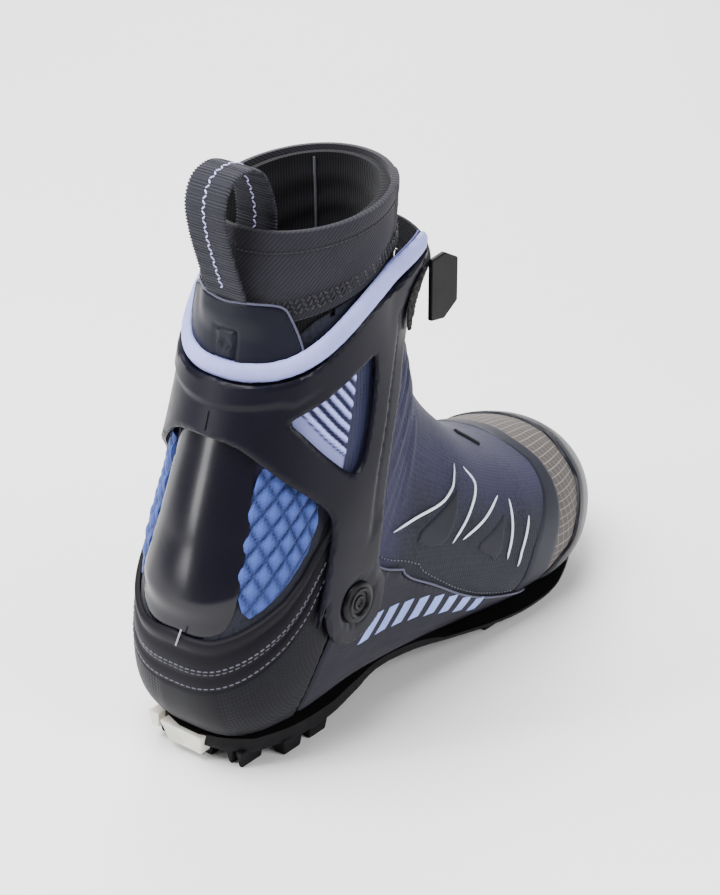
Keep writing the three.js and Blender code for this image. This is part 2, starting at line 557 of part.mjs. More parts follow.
function buildCuff() {
  const body = layer(SHELL_IN, SHELL_OUT, flare);
  const reach = { from: 2, to: 34, across: 6 };
  const heads = bar(-90, 90, PIVOT_Y, PIVOT_Z, ARM_HEAD_R, 28);
  const walls = strip(readEdge(CUFF), readEdge(CUFF, 2), throughBack([42, 50, 57, 62, 68, 73, 77.5,
    82.5, 91, 99, 102, 104.5, 110, 122, 135, 151, 165, 180]), reach);
  let shell = body.intersect(walls.add(heads));
  for (const turn of [(l) => l, mirror]) {
    shell = shell.subtract(area(turn(WINDOW_LOW), turn(WINDOW_HIGH), { across: 3 }));
  }
  for (const side of [-1, 1]) {
    shell = shell.subtract(bar(side * PIVOT_SEAT_X, side * 80, PIVOT_Y, PIVOT_Z, PIVOT_CAP_R + 0.5, 28));
  }
  shell = shell.subtract(bar(-90, 90, PIVOT_Y, PIVOT_Z, PIVOT_R + PIVOT_RUN));
  add('cuff_shell', shell, 0x1f2338, 0.4);
  const pad = layer(PAD_IN, PAD_OUT, flare);
  add('cuff_pad', pad.intersect(strip(readEdge(PAD), readEdge(PAD, 2), throughBack([44, 50, 62, 73,
    82, 91, 99, 108, 122, 135, 151, 165, 180]), reach)), 0x7f7fae, 0.8);
  const mid = (PAD_IN + 0.4 + SHELL_OUT) / 2;
  const tall = (t, phi) => {
    return lerp(RIM_HIGH_FRONT, RIM_HIGH_BACK, smooth((fold(phi) - 60) / 90)) / 2;
  };
  const path = throughBack([42, 47, 53, 62, 73, 84, 95, 106, 120, 135, 151, 165, 180])
    .map((p) => [readEdge(CUFF, 2)(p), p]);
  add('cuff_rim', bead(path, (t, phi) => mid + flare(t, phi), (t, phi) => tall(t, phi) + 1.3,
    RIM_THICK / 2, tall), 0x8d8cc0, 0.75);
}

function buildAnkleBack() {
  const quilt = layer(PANEL_IN, PANEL_IN + 1.3);
  const low = [[0.705, 114], [0.704, 122], [0.704, 134], [0.703, 145.5]];
  const high = [[0.736, 114], [0.758, 122], [0.776, 134], [0.79, 145.5]];
  for (const [side, turn] of [['lateral', (l) => l], ['medial', mirror]]) {
    add(`quilt_${side}`, quilt.intersect(area(turn(low), turn(high), { across: 3 })),
      0x7479b8, 0.7);
  }
  const shield = area([[0.703, 147], [0.7, 163], [0.701, 180], [0.7, 197], [0.703, 213]],
    [[0.79, 147], [0.806, 163], [0.81, 180], [0.806, 197], [0.79, 213]], { across: 3 });
  add('achilles_shield', layer(PANEL_IN, PANEL_OUT).intersect(shield), 0x1e2447, 0.2);
}

// ---- pivots ----
function buildPivot(name, side) {
  const x = (v) => side * v;
  const inner = 40.6;
  const flange = bar(x(inner), x(inner + 1.8), PIVOT_Y, PIVOT_Z, PIVOT_FLANGE_R);
  const shaft = bar(x(inner + 1), x(PIVOT_SEAT_X + 0.2), PIVOT_Y, PIVOT_Z, PIVOT_R);
  const cap = bar(x(PIVOT_SEAT_X + 0.3), x(PIVOT_SEAT_X + 0.3 + PIVOT_CAP_T), PIVOT_Y, PIVOT_Z,
    PIVOT_CAP_R, 24);
  const groove = bar(x(PIVOT_SEAT_X + 2.1), x(80), PIVOT_Y, PIVOT_Z, 10, 20)
    .subtract(bar(x(PIVOT_SEAT_X), x(80), PIVOT_Y, PIVOT_Z, 7.6, 20));
  add(`pivot_stud_${name}`, flange.add(shaft), 0x8b8e94, 0.35, 1);
  add(`pivot_cap_${name}`, cap.subtract(groove), 0x1b1c20, 0.5);
}

// ---- back tab and pull loop ----
function buildTab() {
  const tab = area([[0.904, 161], [0.903, 180], [0.904, 199]], [[0.947, 160], [0.952, 180],
    [0.947, 200]], { across: 2 });
  add('rear_tab', layer(PANEL_IN + 0.9, PANEL_OUT + 1.6).intersect(tab), 0x1f2340, 0.4);
  const line = [[33.8, 210.6], [29.5, 223], [25.2, 237], [23.6, 250], [28, 259.5], [37.5, 263],
    [46.6, 259.3], [51.8, 250], [54.0, 241], [54.0, 233], [51.6, 225.5]];
  const curve = new THREE.CatmullRomCurve3(line.map(([y, z]) => new THREE.Vector3(0, y, atZ(z))));
  const points = curve.getPoints(18);
  const edge = (s) => points.map((p, i) => {
    const a = points[Math.max(0, i - 1)];
    const b = points[Math.min(points.length - 1, i + 1)];
    const d = b.clone().sub(a).normalize();
    return [p.y - d.z * s, p.z + d.y * s];
  });
  const outline = [...edge(LOOP_THICK / 2), ...edge(-LOOP_THICK / 2).reverse()];
  add('pull_loop', sidePrism(outline, -LOOP_WIDE / 2, LOOP_WIDE / 2), 0x3b3d42, 0.85);
}

// ---- cuff strap ----
function buildStrap() {
  const line = (t) => [-66, -50, -25, 0, 25, 46].map((phi) => [t, phi]);
  const far = (d) => (t, phi) => d + flare(t, phi);
  const strap = sock(far(SHELL_OUT + 2.2)).subtract(sock(far(SHELL_OUT + 0.4), 6));
  add('cuff_strap', strap.intersect(area(line(0.835), line(0.9), { from: 4, to: 34,
    across: 2 })), 0x1a1b1e, 0.85);
  const patch = area([[0.838, 49], [0.833, 55], [0.828, 61]], [[0.915, 49], [0.912, 55], [0.905, 61]],
    { from: 4, to: 34, across: 2 });
  const pile = sock(far(SHELL_OUT + 1.5)).subtract(sock(far(SHELL_OUT + 0.2), 6));
  add('strap_pile_patch', pile.intersect(patch), 0x151618, 0.98);
}

function buildStrapTab() {
  const root = outside(0.868, 46, SHELL_OUT + 2.2 + flare(0.868, 46));
  const [y, z] = [root.y + 0.2, root.z];
  const outline = [[y, z - 14], [y + 9, z - 15.5], [y + 14.5, z - 10], [y + 14.5, z + 11],
    [y + 9, z + 16], [y, z + 15]];
  const inner = root.x + 0.3;
  add('strap_tab', sidePrism(outline, inner, inner + TAB_THICK), 0x1c1d21, 0.6);
}

// ---- front zip ----
function zipFrame() {
  const a = outside(0.69, 17, COVER_OUT + 0.1);
  const b = outside(0.925, 17, COVER_OUT + 0.1);
  const along = b.clone().sub(a).normalize();
  const f = frameAt(0.82, 17);
  const wide = new THREE.Vector3().crossVectors(along, f.out).normalize();
  const out = new THREE.Vector3().crossVectors(wide, along).normalize();
  return { a, b, along, wide, out };
}

// a block in the zip's own directions: along from the top end, across, outwards
function zipBlock(frame, s0, s1, w0, w1, h0, h1) {
  const at = (s, w, h) => frame.b.clone().addScaledVector(frame.along, s)
    .addScaledVector(frame.wide, w).addScaledVector(frame.out, h);
  return rings([s0, s1].map((s) => [at(s, w0, h0), at(s, w1, h0), at(s, w1, h1), at(s, w0, h1)]));
}

function buildZip() {
  const f = zipFrame();
  const long = f.b.distanceTo(f.a);
  add('zip_chain', zipBlock(f, -long, -1, -ZIP_WIDE / 2, ZIP_WIDE / 2, 0, ZIP_HIGH), 0x17181a, 0.6);
  const half = SLIDER_WIDE / 2;
  const top = ZIP_HIGH + 0.3;
  const body = zipBlock(f, -SLIDER_LONG - 3, -3, -half, half, -0.2, top + 1.6)
    .subtract(zipBlock(f, -SLIDER_LONG - 9, 3, -ZIP_WIDE / 2 - 0.35, ZIP_WIDE / 2 + 0.35, -1, top));
  const bridge = zipBlock(f, -SLIDER_LONG, -6, -1.2, 1.2, top + 1, top + 3.4)
    .subtract(zipBlock(f, -SLIDER_LONG + 1.4, -7.4, -3, 3, top + 1.6, top + 2.6));
  add('zip_slider', body.add(bridge), 0x2a2b2f, 0.4, 1);
}

buildLining();
buildCover();
buildSole(buildWalls());
buildToeBlock();
buildCuff();
buildAnkleBack();
buildPivot('lateral', 1);
buildPivot('medial', -1);
buildTab();
buildStrap();
buildStrapTab();
buildZip();

group.position.set(0, -ORIGIN_Y, 0);

export default group;
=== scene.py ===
import math

import bpy
import numpy as np
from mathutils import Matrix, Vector


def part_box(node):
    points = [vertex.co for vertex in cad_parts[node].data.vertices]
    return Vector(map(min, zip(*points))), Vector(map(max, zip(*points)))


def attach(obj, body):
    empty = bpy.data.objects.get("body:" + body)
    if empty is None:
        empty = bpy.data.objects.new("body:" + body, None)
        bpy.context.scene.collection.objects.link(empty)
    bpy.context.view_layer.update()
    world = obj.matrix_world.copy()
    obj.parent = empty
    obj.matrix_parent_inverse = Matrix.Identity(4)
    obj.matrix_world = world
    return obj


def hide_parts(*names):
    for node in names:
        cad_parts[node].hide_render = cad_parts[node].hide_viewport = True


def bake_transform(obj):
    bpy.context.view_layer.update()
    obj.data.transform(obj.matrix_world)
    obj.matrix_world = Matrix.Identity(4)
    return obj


bl_info = {
    "name": "Cross-country skate boot",
    "version": (1, 0, 0),
    "blender": (4, 5, 0),
    "location": "View3D > Sidebar > Boot",
    "description": "Dresses the packed skate boot with its fabrics, shells and stitching",
    "category": "Add Mesh",
}

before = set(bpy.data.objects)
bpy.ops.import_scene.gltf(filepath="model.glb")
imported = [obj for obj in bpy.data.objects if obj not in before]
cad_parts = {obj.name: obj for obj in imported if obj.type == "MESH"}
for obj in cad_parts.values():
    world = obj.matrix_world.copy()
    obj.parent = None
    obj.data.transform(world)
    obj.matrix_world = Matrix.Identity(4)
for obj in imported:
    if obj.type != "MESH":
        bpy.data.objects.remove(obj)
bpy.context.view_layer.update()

# Shapes below are worked out in millimetres about the heel datum; to_frame() turns them into
# the frame's metres, whose origin is the middle of the heel tread.
ORIGIN_Y = 34.0
PIVOT = np.array([57.0, 72.0])          # ankle pivot, y and z
WING_FLARE = 9.0                        # how far the cuff's front wings stand off
RENDER_LEVELS = 1
DULL = 0.13                             # specular level: worn cloth and plastic shine little
WAVE = 314.16                           # wave scale times period in mm, for co-ordinates in metres

# layers, measured outwards from the foot room
LINER_IN, LINER_OUT = 0.2, 4.0
COVER_IN, COVER_OUT = 4.4, 6.0
PANEL_IN, PANEL_OUT = 6.4, 8.0
PAD_IN, PAD_OUT = 6.4, 8.0
RIB_HIGH = 1.9
SHELL_IN, SHELL_OUT = 9.9, 12.5


# ---- colours ----
def linear(code):
    """An sRGB hex colour as linear red, green, blue and alpha."""
    channels = np.array([int(code[i:i + 2], 16) for i in (1, 3, 5)]) / 255
    low = channels / 12.92
    high = ((channels + 0.055) / 1.055) ** 2.4
    return (*np.where(channels <= 0.04045, low, high).tolist(), 1.0)


def colour_property(label, note, code):
    """A colour that a user may change, from its sRGB hex code."""
    return bpy.props.FloatVectorProperty(name=label, description=note, default=linear(code),
                                         size=4, min=0, max=1, subtype='COLOR')


class BootColours(bpy.types.PropertyGroup):
    """Colours of the boot's materials"""
    shell: colour_property("Cuff", "Moulded nylon of the cuff", "#0b0a15")
    panel: colour_property("Side panels", "Fused film of the side panels", "#0e0c1a")
    softshell: colour_property("Softshell", "Upper part of the closed cover", "#242338")
    # lower is also the colour of painted shade on the cover, behind the ankle and under the cuff
    lower: colour_property("Lower vamp", "Coated lower part of the cover", "#1c1d25")
    toe: colour_property("Toe cap", "Ground of the ripstop toe cap", "#45403e")
    toe_grid: colour_property("Toe cap grid", "Heavier threads of the ripstop", "#79726e")
    lilac: colour_property("Lilac", "Microfibre of the cuff's rim and pads", "#969cd8")
    quilt: colour_property("Quilt", "Padded mesh beside the shield", "#3a4c8c")
    band: colour_property("Band", "Twill of the gaiter's top band", "#24232a")
    rubber: colour_property("Rubber", "Outsole and lugs", "#0c0c0e")
    insert: colour_property("Heel insert", "Hard insert between the heel lugs", "#d9d7cd")


class BootSizes(bpy.types.PropertyGroup):
    """Sizes of the boot's fine detail"""
    cell: bpy.props.FloatProperty(
        name="Cell", description="Width of a surface cell, in mm", default=1.5, min=0.6, max=4)
    rib_pitch: bpy.props.FloatProperty(
        name="Rib pitch", description="Spacing of the pad's ribs, in mm", default=4.2, min=2, max=9)
    quilt_pitch: bpy.props.FloatProperty(
        name="Quilt pitch", description="Side of a quilted diamond, in mm", default=10.0, min=4, max=16)
    stitch: bpy.props.FloatProperty(
        name="Stitch", description="Length of one stitch, in mm", default=2.1, min=1, max=5)


# ---- the foot room's surface ----
# top line y, z; bottom or back line y, z; half width; middle x; level of the widest place;
# squareness of the upper and the lower half
SECTIONS = np.array([
    [275, 34, 275, 29, 0.3, -13, 0.50, 2.0, 2.0],
    [273, 43, 273, 22, 15, -13, 0.52, 2.0, 2.3],
    [265, 52, 265, 18, 28, -12, 0.56, 2.0, 2.6],
    [246, 61, 246, 16, 40, -9, 0.60, 2.0, 3.0],
    [220, 69, 220, 15, 46, -4, 0.62, 2.0, 3.2],
    [192, 80, 188, 15, 45, 0, 0.60, 2.0, 3.2],
    [167, 95, 150, 18, 40, 3, 0.58, 2.0, 3.2],
    [148, 112, 112, 21, 37, 4, 0.56, 2.0, 3.1],
    [136, 128, 70, 22, 37, 2, 0.56, 2.1, 3.2],
    [130, 142, 27, 19, 38.5, 0, 0.54, 2.2, 3.3],
    [127, 155, 6, 28, 39, 0, 0.50, 2.3, 3.2],
    [125, 166, 3, 67, 38, 0, 0.48, 2.2, 2.5],
    [123, 178, 14, 104, 35.5, 0, 0.46, 2.1, 2.2],
    [121, 192, 26, 138, 33, 0, 0.47, 2.0, 2.1],
    [119, 208, 36, 168, 31.5, 0, 0.50, 2.0, 2.1],
    [118, 226, 43, 201, 31.5, 0, 0.50, 2.0, 2.0],
    [117, 246, 48, 235, 32, 0, 0.50, 2.0, 2.0],
])


def smooth(x):
    """A step from 0 to 1 with flat ends."""
    k = np.clip(x, 0, 1)
    return k * k * (3 - 2 * k)


def fold(phi):
    """The angle from the front line, the same on both sides of the boot."""
    return np.abs((np.asarray(phi) + 180) % 360 - 180)


def spline(rows, x):
    """A Catmull-Rom curve through rows: x counts them from 0, and each end runs straight on."""
    i = np.minimum(len(rows) - 2, x.astype(int))
    f = (x - i)[..., None]
    rows = np.vstack([2 * rows[0] - rows[1], rows, 2 * rows[-1] - rows[-2]])
    a, b, c, d = (rows[i + k] for k in range(4))
    return 0.5 * (2 * b + (c - a) * f + (2 * a - 5 * b + 4 * c - d) * f ** 2
                  + (3 * b - a - 3 * c + d) * f ** 3)


def lengths(points):
    """The distance along a line of points, from 0 at its first."""
    return np.concatenate([[0], np.cumsum(np.linalg.norm(np.diff(points, axis=0), axis=1))])


def place(t, phi):
    """The foot room at t, 0 toe to 1 shaft rim, and phi, 0 front line to 180 back line: each
    section is a superellipse whose upper and lower halves have their own squareness."""
    t, phi = np.broadcast_arrays(np.asarray(t, float), np.asarray(phi, float))
    row = spline(SECTIONS, np.clip(t, 0, 1) * (len(SECTIONS) - 1))
    fy, fz, by, bz, wide, mid, level, above, below = np.moveaxis(row, -1, 0)
    c, s = np.cos(np.radians(phi)), np.sin(np.radians(phi))
    power = 2 / np.where(c > 0, above, below)
    cs = np.sign(c) * np.abs(c) ** power
    sn = np.sign(s) * np.abs(s) ** power
    k = np.where(c > 0, level * (1 - cs), level - (1 - level) * cs)
    return np.stack([mid + wide * sn, fy + (by - fy) * k, fz + (bz - fz) * k], axis=-1)


def unit(v):
    """Vectors made 1 long."""
    return v / np.maximum(np.linalg.norm(v, axis=-1, keepdims=True), 1e-9)


def frame_at(t, phi):
    """Point, upward direction and outward normal of the foot room."""
    t, phi = np.broadcast_arrays(np.asarray(t, float), np.asarray(phi, float))
    up = place(np.minimum(1, t + 0.004), phi) - place(np.maximum(0, t - 0.004), phi)
    around = place(t, phi + 1.5) - place(t, phi - 1.5)
    return place(t, phi), unit(up), unit(np.cross(up, around))


def skin(t, phi, d):
    """The layer d outside the foot room."""
    at, _, out = frame_at(t, phi)
    return at + out * np.asarray(d, float)[..., None]


def flare(t, phi):
    """How far the cuff's wings stand off: a smooth rise towards the front and the top."""
    return WING_FLARE * smooth((78 - fold(phi)) / 36) * smooth((np.asarray(t) - 0.8) / 0.12)


def edge(rows, column=1):
    """The t of a seam as a function of phi, alike on both sides."""
    rows = np.array(rows, float)
    return lambda phi: np.interp(fold(phi), rows[:, 0], rows[:, column])


def flat_seam(t):
    """A seam that stays at one t."""
    return lambda phi: np.full(np.shape(phi), float(t))


def mirrored(points):
    """The same line on the other side of the boot."""
    return [(-phi, t) for phi, t in points]


def across_back(points):
    """The same line on the other side, run backwards and counted on through the back."""
    return [(360 - phi, t) for phi, t in reversed(points)]


SIDES = (("lateral", list), ("medial", mirrored))


# ---- meshes ----
def to_frame(points):
    """Millimetres about the heel datum as the frame's metres."""
    return (np.asarray(points, float) - (0, ORIGIN_Y, 0)) / 1000


def facing_out(points, faces):
    """Turns a closed skin whose volume is negative."""
    a, b, c = (points[faces[:, k]] for k in range(3))
    volume = np.einsum('ij,ij->', a, np.cross(b, c))
    square = faces[:, 3] >= 0
    d = points[faces[square, 3]]
    volume += np.einsum('ij,ij->', a[square], np.cross(c[square], d))
    if volume >= 0:
        return faces
    turned = faces[:, [2, 1, 0, 3]]
    turned[square] = faces[square][:, ::-1]
    return turned


def joined(parts):
    """Several (points, faces, uv) as one."""
    start = np.cumsum([0] + [len(p[0]) for p in parts[:-1]])
    faces = [np.where(f >= 0, f + s, -1) for (_, f, _), s in zip(parts, start)]
    return tuple(np.vstack(rows) for rows in ([p[0] for p in parts], faces, [p[2] for p in parts]))


def make(name, parts, material, body, replaces=(), attributes=None, crease=40, blend=False):
    """One piece from (points, faces, uv) in mm: a face is four corners, the last -1 on a triangle."""
    points, faces, uv = joined(parts) if isinstance(parts, list) else parts
    mesh = bpy.data.meshes.new(name)
    count = np.where(faces[:, 3] < 0, 3, 4)
    loops = faces.ravel()[faces.ravel() >= 0]
    mesh.vertices.add(len(points))
    mesh.vertices.foreach_set('co', to_frame(points).ravel().astype(np.float32))
    mesh.loops.add(len(loops))
    mesh.loops.foreach_set('vertex_index', loops.astype(np.int32))
    mesh.polygons.add(len(faces))
    mesh.polygons.foreach_set('loop_start', (np.cumsum(count) - count).astype(np.int32))
    mesh.update(calc_edges=True)
    mesh.polygons.foreach_set('use_smooth', np.ones(len(faces), bool))
    mesh.uv_layers.new(name="surface").data.foreach_set(
        'uv', (uv[loops] / 1000).ravel().astype(np.float32))
    for key, values in (attributes or {}).items():
        mesh.attributes.new(key, 'FLOAT', 'POINT').data.foreach_set(
            'value', np.asarray(values, np.float32).ravel())
    mesh.set_sharp_from_angle(angle=math.radians(crease))
    if mesh.validate():
        mesh.update()
    mesh.materials.append(material)
    piece = bpy.data.objects.new(name, mesh)
    bpy.context.scene.collection.objects.link(piece)
    if blend:
        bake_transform(piece)
    else:
        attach(piece, body)
    if replaces:
        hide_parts(*replaces)
    return piece


def even(start, stop, measure, step):
    """Values from start to stop whose curve measure(value) has points about step apart."""
    fine = np.linspace(start, stop, 600)
    along = lengths(measure(fine))
    return np.interp(np.linspace(0, along[-1], max(2, int(along[-1] / step) + 1)), along, fine)


def rounded(points, times=2):
    """Cuts the corners of a closed outline, so that it ends as a smooth curve."""
    p = np.array(points, float)
    for _ in range(times):
        q = np.roll(p, -1, axis=0)
        p = np.stack([0.75 * p + 0.25 * q, 0.25 * p + 0.75 * q], axis=1).reshape(-1, 2)
    return p


def loop_distance(phi, t, loop):
    """Signed distance in mm to a closed outline, below 0 inside, and the nearest (phi, t) on it."""
    where = skin(t, phi, np.full(t.shape, 6.0))
    a = skin(loop[:, 1], loop[:, 0], np.full(len(loop), 6.0))
    side = np.roll(a, -1, axis=0) - a
    turn = np.roll(loop, -1, axis=0) - loop
    length = np.maximum((side ** 2).sum(axis=1), 1e-9)
    best, near = np.empty(len(t)), np.empty((len(t), 2))
    for rows in np.array_split(np.arange(len(t)), max(1, len(t) // 4000)):
        gap = where[rows, None] - a
        k = np.clip((gap * side).sum(axis=2) / length, 0, 1)
        far = np.linalg.norm(gap - k[..., None] * side, axis=2)
        i = far.argmin(axis=1)
        best[rows] = far[np.arange(len(rows)), i]
        near[rows] = loop[i] + k[np.arange(len(rows)), i, None] * turn[i]
        x, y = phi[rows, None], t[rows, None]
        crossing = ((loop[:, 1] > y) != ((loop[:, 1] + turn[:, 1]) > y))
        rise = np.where(np.abs(turn[:, 1]) < 1e-12, 1e-12, turn[:, 1])
        hit = crossing & (x < loop[:, 0] + (y - loop[:, 1]) / rise * turn[:, 0])
        best[rows] *= np.where(hit.sum(axis=1) % 2 == 1, -1, 1)
    return best, near


def line_distance(phi, t, path):
    """Distance in mm to an open path of (phi, t), and which side of it a point is on."""
    path = np.array(path, float)
    where = skin(t, phi, np.full(np.shape(t), 6.0))
    a = skin(path[:, 1], path[:, 0], np.full(len(path), 6.0))
    side = a[1:] - a[:-1]
    gap = where[:, None] - a[:-1]
    k = np.clip((gap * side).sum(axis=2) / np.maximum((side ** 2).sum(axis=1), 1e-9), 0, 1)
    far = np.linalg.norm(gap - k[..., None] * side, axis=2)
    i = far.argmin(axis=1)
    turn = path[1:] - path[:-1]
    off = np.stack([phi - path[i, 0], t - path[i, 1]], axis=1)
    sign = np.sign(turn[i, 0] * off[:, 1] - turn[i, 1] * off[:, 0])
    return far.min(axis=1), sign


def grid_faces(rows, columns, wrap=False):
    """The squares of a grid of rows by columns, closed round when wrap is set."""
    i, j = np.meshgrid(np.arange(rows - 1), np.arange(columns if wrap else columns - 1),
                       indexing='ij')
    i, j, k = i.ravel(), j.ravel(), (j.ravel() + 1) % columns
    return np.stack([i * columns + j, i * columns + k, (i + 1) * columns + k,
                     (i + 1) * columns + j], axis=1)


def both_sides(faces, count):
    """A sheet's faces, the same turned over and numbered count later, and the wall that joins
    their free edges: a free edge is one that no face runs along the other way."""
    ring = np.concatenate([faces[:, [i, (i + 1) % 4]] for i in range(4)])
    key = ring[:, 0].astype(np.int64) * count + ring[:, 1]
    free = ring[~np.isin(key, ring[:, 1].astype(np.int64) * count + ring[:, 0])]
    wall = np.stack([free[:, 1], free[:, 0], free[:, 0] + count, free[:, 1] + count], axis=1)
    return np.vstack([faces, faces[:, ::-1] + count, wall])


def tube_faces(rows, sides):
    """The faces of a tube of rings, each end closed by a fan about one of two added points."""
    first = np.arange(sides)
    last = first + (rows - 1) * sides
    hub, nothing = np.full(sides, rows * sides), np.full(sides, -1)
    return np.vstack([grid_faces(rows, sides, wrap=True),
                      np.stack([hub, np.roll(first, -1), first, nothing], axis=1),
                      np.stack([hub + 1, last, np.roll(last, -1), nothing], axis=1)])


def cut_grid(outline, holes=(), cell=1.5, wrap=False, soft=2):
    """A grid over the outline, in (phi, t), whose border cells are drawn onto the outline and
    the holes' edges. Returns phi, t, distance to the nearest edge, and faces."""
    loops = [rounded(outline, soft)] + [rounded(hole) for hole in holes]
    low, high = loops[0].min(axis=0), loops[0].max(axis=0)
    if wrap:
        low[0], high[0] = -180, 180
    middle = (low + high) / 2
    columns = even(low[0], high[0], lambda v: place(np.full(len(v), middle[1]), v), cell)
    if wrap:
        columns = columns[:-1]
    rows = even(low[1], high[1], lambda v: place(v, np.full(len(v), middle[0])), cell)
    t, phi = (v.ravel() for v in np.meshgrid(rows, columns, indexing='ij'))
    signed, near = loop_distance(phi, t, loops[0])
    for hole in loops[1:]:
        value, spot = loop_distance(phi, t, hole)
        closer = -value > signed
        signed = np.where(closer, -value, signed)
        near = np.where(closer[:, None], spot, near)
    border = (signed > -0.35 * cell) & (signed < 1.9 * cell)
    phi, t = np.where(border, near[:, 0], phi), np.where(border, near[:, 1], t)
    state = np.where(border, 0, np.sign(signed))
    faces = grid_faces(len(rows), len(columns), wrap)
    corner = state[faces]
    faces = faces[(corner.max(axis=1) <= 0) & (corner.min(axis=1) < 0)]
    used, renumbered = np.unique(faces, return_inverse=True)
    return (phi[used], t[used], np.where(border, 0, -signed)[used],
            renumbered.reshape(faces.shape))


def strip_grid(low, high, angles, rows, wrap=False):
    """A grid between two seams, each a function of phi. Same returns as cut_grid."""
    k = (1 - np.cos(np.pi * np.linspace(0, 1, rows))) / 2
    k = 0.5 * k + 0.5 * np.linspace(0, 1, rows)
    low, high = np.broadcast_to(low(angles), angles.shape), np.broadcast_to(high(angles), angles.shape)
    t = low + (high - low) * k[:, None]
    phi = np.broadcast_to(angles, t.shape)
    tall = np.linalg.norm(place(high, angles) - place(low, angles), axis=1)
    away = np.minimum(k, 1 - k)[:, None] * tall
    if not wrap:
        along = lengths(place((low + high) / 2, angles))
        away = np.minimum(away, np.minimum(along, along[-1] - along))
    return phi.ravel(), t.ravel(), away.ravel(), grid_faces(rows, len(angles), wrap)


def around_uv(phi, t):
    """Cloth co-ordinates in mm: round the boot, and along it."""
    return np.stack([np.asarray(phi) * 0.68, np.asarray(t) * 440], axis=1)


def shell_of(grid, inner, outer, bead=0.5):
    """A closed sheet over a grid, from inner to outer offset, its outer edge rounded by bead."""
    phi, t, away, faces = grid
    x = np.clip(away / max(bead, 1e-6), 0, 1)
    drop = bead * (1 - np.sqrt(1 - (1 - x) ** 2))
    top = skin(t, phi, np.broadcast_to(outer, t.shape) - drop)
    under = skin(t, phi, np.broadcast_to(inner, t.shape))
    points = np.vstack([top, under])
    uv = around_uv(np.tile(phi, 2), np.tile(t, 2))
    return points, facing_out(points, both_sides(faces, len(phi))), uv


def sweep(points, normals, profile):
    """A closed profile of (across, out) carried along points; across lies at right angles to the
    path and the normals. The profile may change along the path. Each end is closed by a fan."""
    points, normals = np.asarray(points, float), np.asarray(normals, float)
    ahead = np.roll(points, -1, axis=0) - np.roll(points, 1, axis=0)
    ahead[0], ahead[-1] = points[1] - points[0], points[-1] - points[-2]
    ahead = unit(ahead)
    across = unit(np.cross(ahead, normals))
    out = np.cross(across, ahead)
    profile = np.broadcast_to(profile, (len(points), *np.shape(profile)[-2:]))
    ring = (points[:, None] + profile[..., :1] * across[:, None] + profile[..., 1:] * out[:, None])
    sides = ring.shape[1]
    flat = ring.reshape(-1, 3)
    along = lengths(points)
    around = np.linspace(0, 1, sides, endpoint=False) * np.abs(profile).max() * 4
    uv = np.stack([np.tile(around, len(points)), np.repeat(along, sides)], axis=1)
    flat = np.vstack([flat, points[:1], points[-1:]])
    uv = np.vstack([uv, [[0, 0], [0, along[-1]]]])
    faces = tube_faces(len(points), sides)
    return flat, facing_out(flat, faces), uv


def oval(across, out, sides=12):
    """An elliptical profile."""
    a = np.linspace(0, 2 * np.pi, sides, endpoint=False)
    return np.stack([across * np.cos(a), out * np.sin(a)], axis=1)


def on_surface(path, d, step=1.0):
    """Points and normals along a path of (phi, t), smoothed and about step apart, d outside."""
    path = np.array(path, float)
    curve = spline(path, np.linspace(0, len(path) - 1, 60 * len(path)))
    along = lengths(place(curve[:, 1], curve[:, 0]))
    stops = np.linspace(0, along[-1], max(3, int(along[-1] / step)))
    phi, t = (np.interp(stops, along, curve[:, n]) for n in (0, 1))
    far = d(t, phi) if callable(d) else np.full(len(t), float(d))
    at, _, out = frame_at(t, phi)
    return at + out * far[:, None], out


def stitches(points, normals, long, gap, thick=0.42, slant=0.0):
    """Rows of short round-ended threads laid along a path; slant turns every other one."""
    along = lengths(points)
    stops = np.arange(long, along[-1] - long, long + gap)
    at = np.stack([np.interp(stops, along, points[:, n]) for n in range(3)], axis=1)
    ahead = np.stack([np.interp(stops + 0.5, along, points[:, n]) for n in range(3)], axis=1) - at
    out = unit(np.stack([np.interp(stops, along, normals[:, n]) for n in range(3)], axis=1))
    ahead = unit(ahead)
    side = np.cross(ahead, out)
    turn = np.where(np.arange(len(stops)) % 2 == 0, slant, -slant)[:, None]
    ahead = unit(ahead * np.cos(turn) + side * np.sin(turn))
    side = np.cross(ahead, out)
    sides = 6
    spine = np.array([-0.5, -0.42, 0.0, 0.42, 0.5]) * long
    girth = np.array([0.25, 0.8, 1.0, 0.8, 0.25]) * thick
    ring = oval(1, 1, sides)
    local = np.concatenate([np.stack([np.full(sides, s), g * ring[:, 0], g * ring[:, 1] * 0.8],
                                     axis=1) for s, g in zip(spine, girth)])
    flat = (at[:, None] + local[:, :1] * ahead[:, None] + local[:, 1:2] * side[:, None]
            + local[:, 2:] * out[:, None]).reshape(-1, 3)
    body = grid_faces(len(spine), sides, wrap=True)
    ends = np.array([[0, 5, 4, 3], [0, 3, 2, 1]])
    one = np.vstack([body, ends, ends[:, ::-1] + 4 * sides])
    faces = (one + (np.arange(len(stops)) * len(local))[:, None, None]).reshape(-1, 4)
    uv = np.zeros((len(flat), 2))
    return flat, facing_out(flat, faces), uv


def blocks(boxes):
    """Tapered blocks: each is (x0, x1, y0, y1, z0, z1, taper), narrower at z0 by taper."""
    parts = []
    cube = np.array([[0, 3, 2, 1], [4, 5, 6, 7], [0, 1, 5, 4], [1, 2, 6, 5], [2, 3, 7, 6],
                     [3, 0, 4, 7]])
    for x0, x1, y0, y1, z0, z1, taper in boxes:
        s = taper
        points = np.array([[x0 + s, y0 + s, z0], [x1 - s, y0 + s, z0], [x1 - s, y1 - s, z0],
                           [x0 + s, y1 - s, z0], [x0, y0, z1], [x1, y0, z1], [x1, y1, z1],
                           [x0, y1, z1]], float)
        parts.append((points, facing_out(points, cube), points[:, :2]))
    return joined(parts)


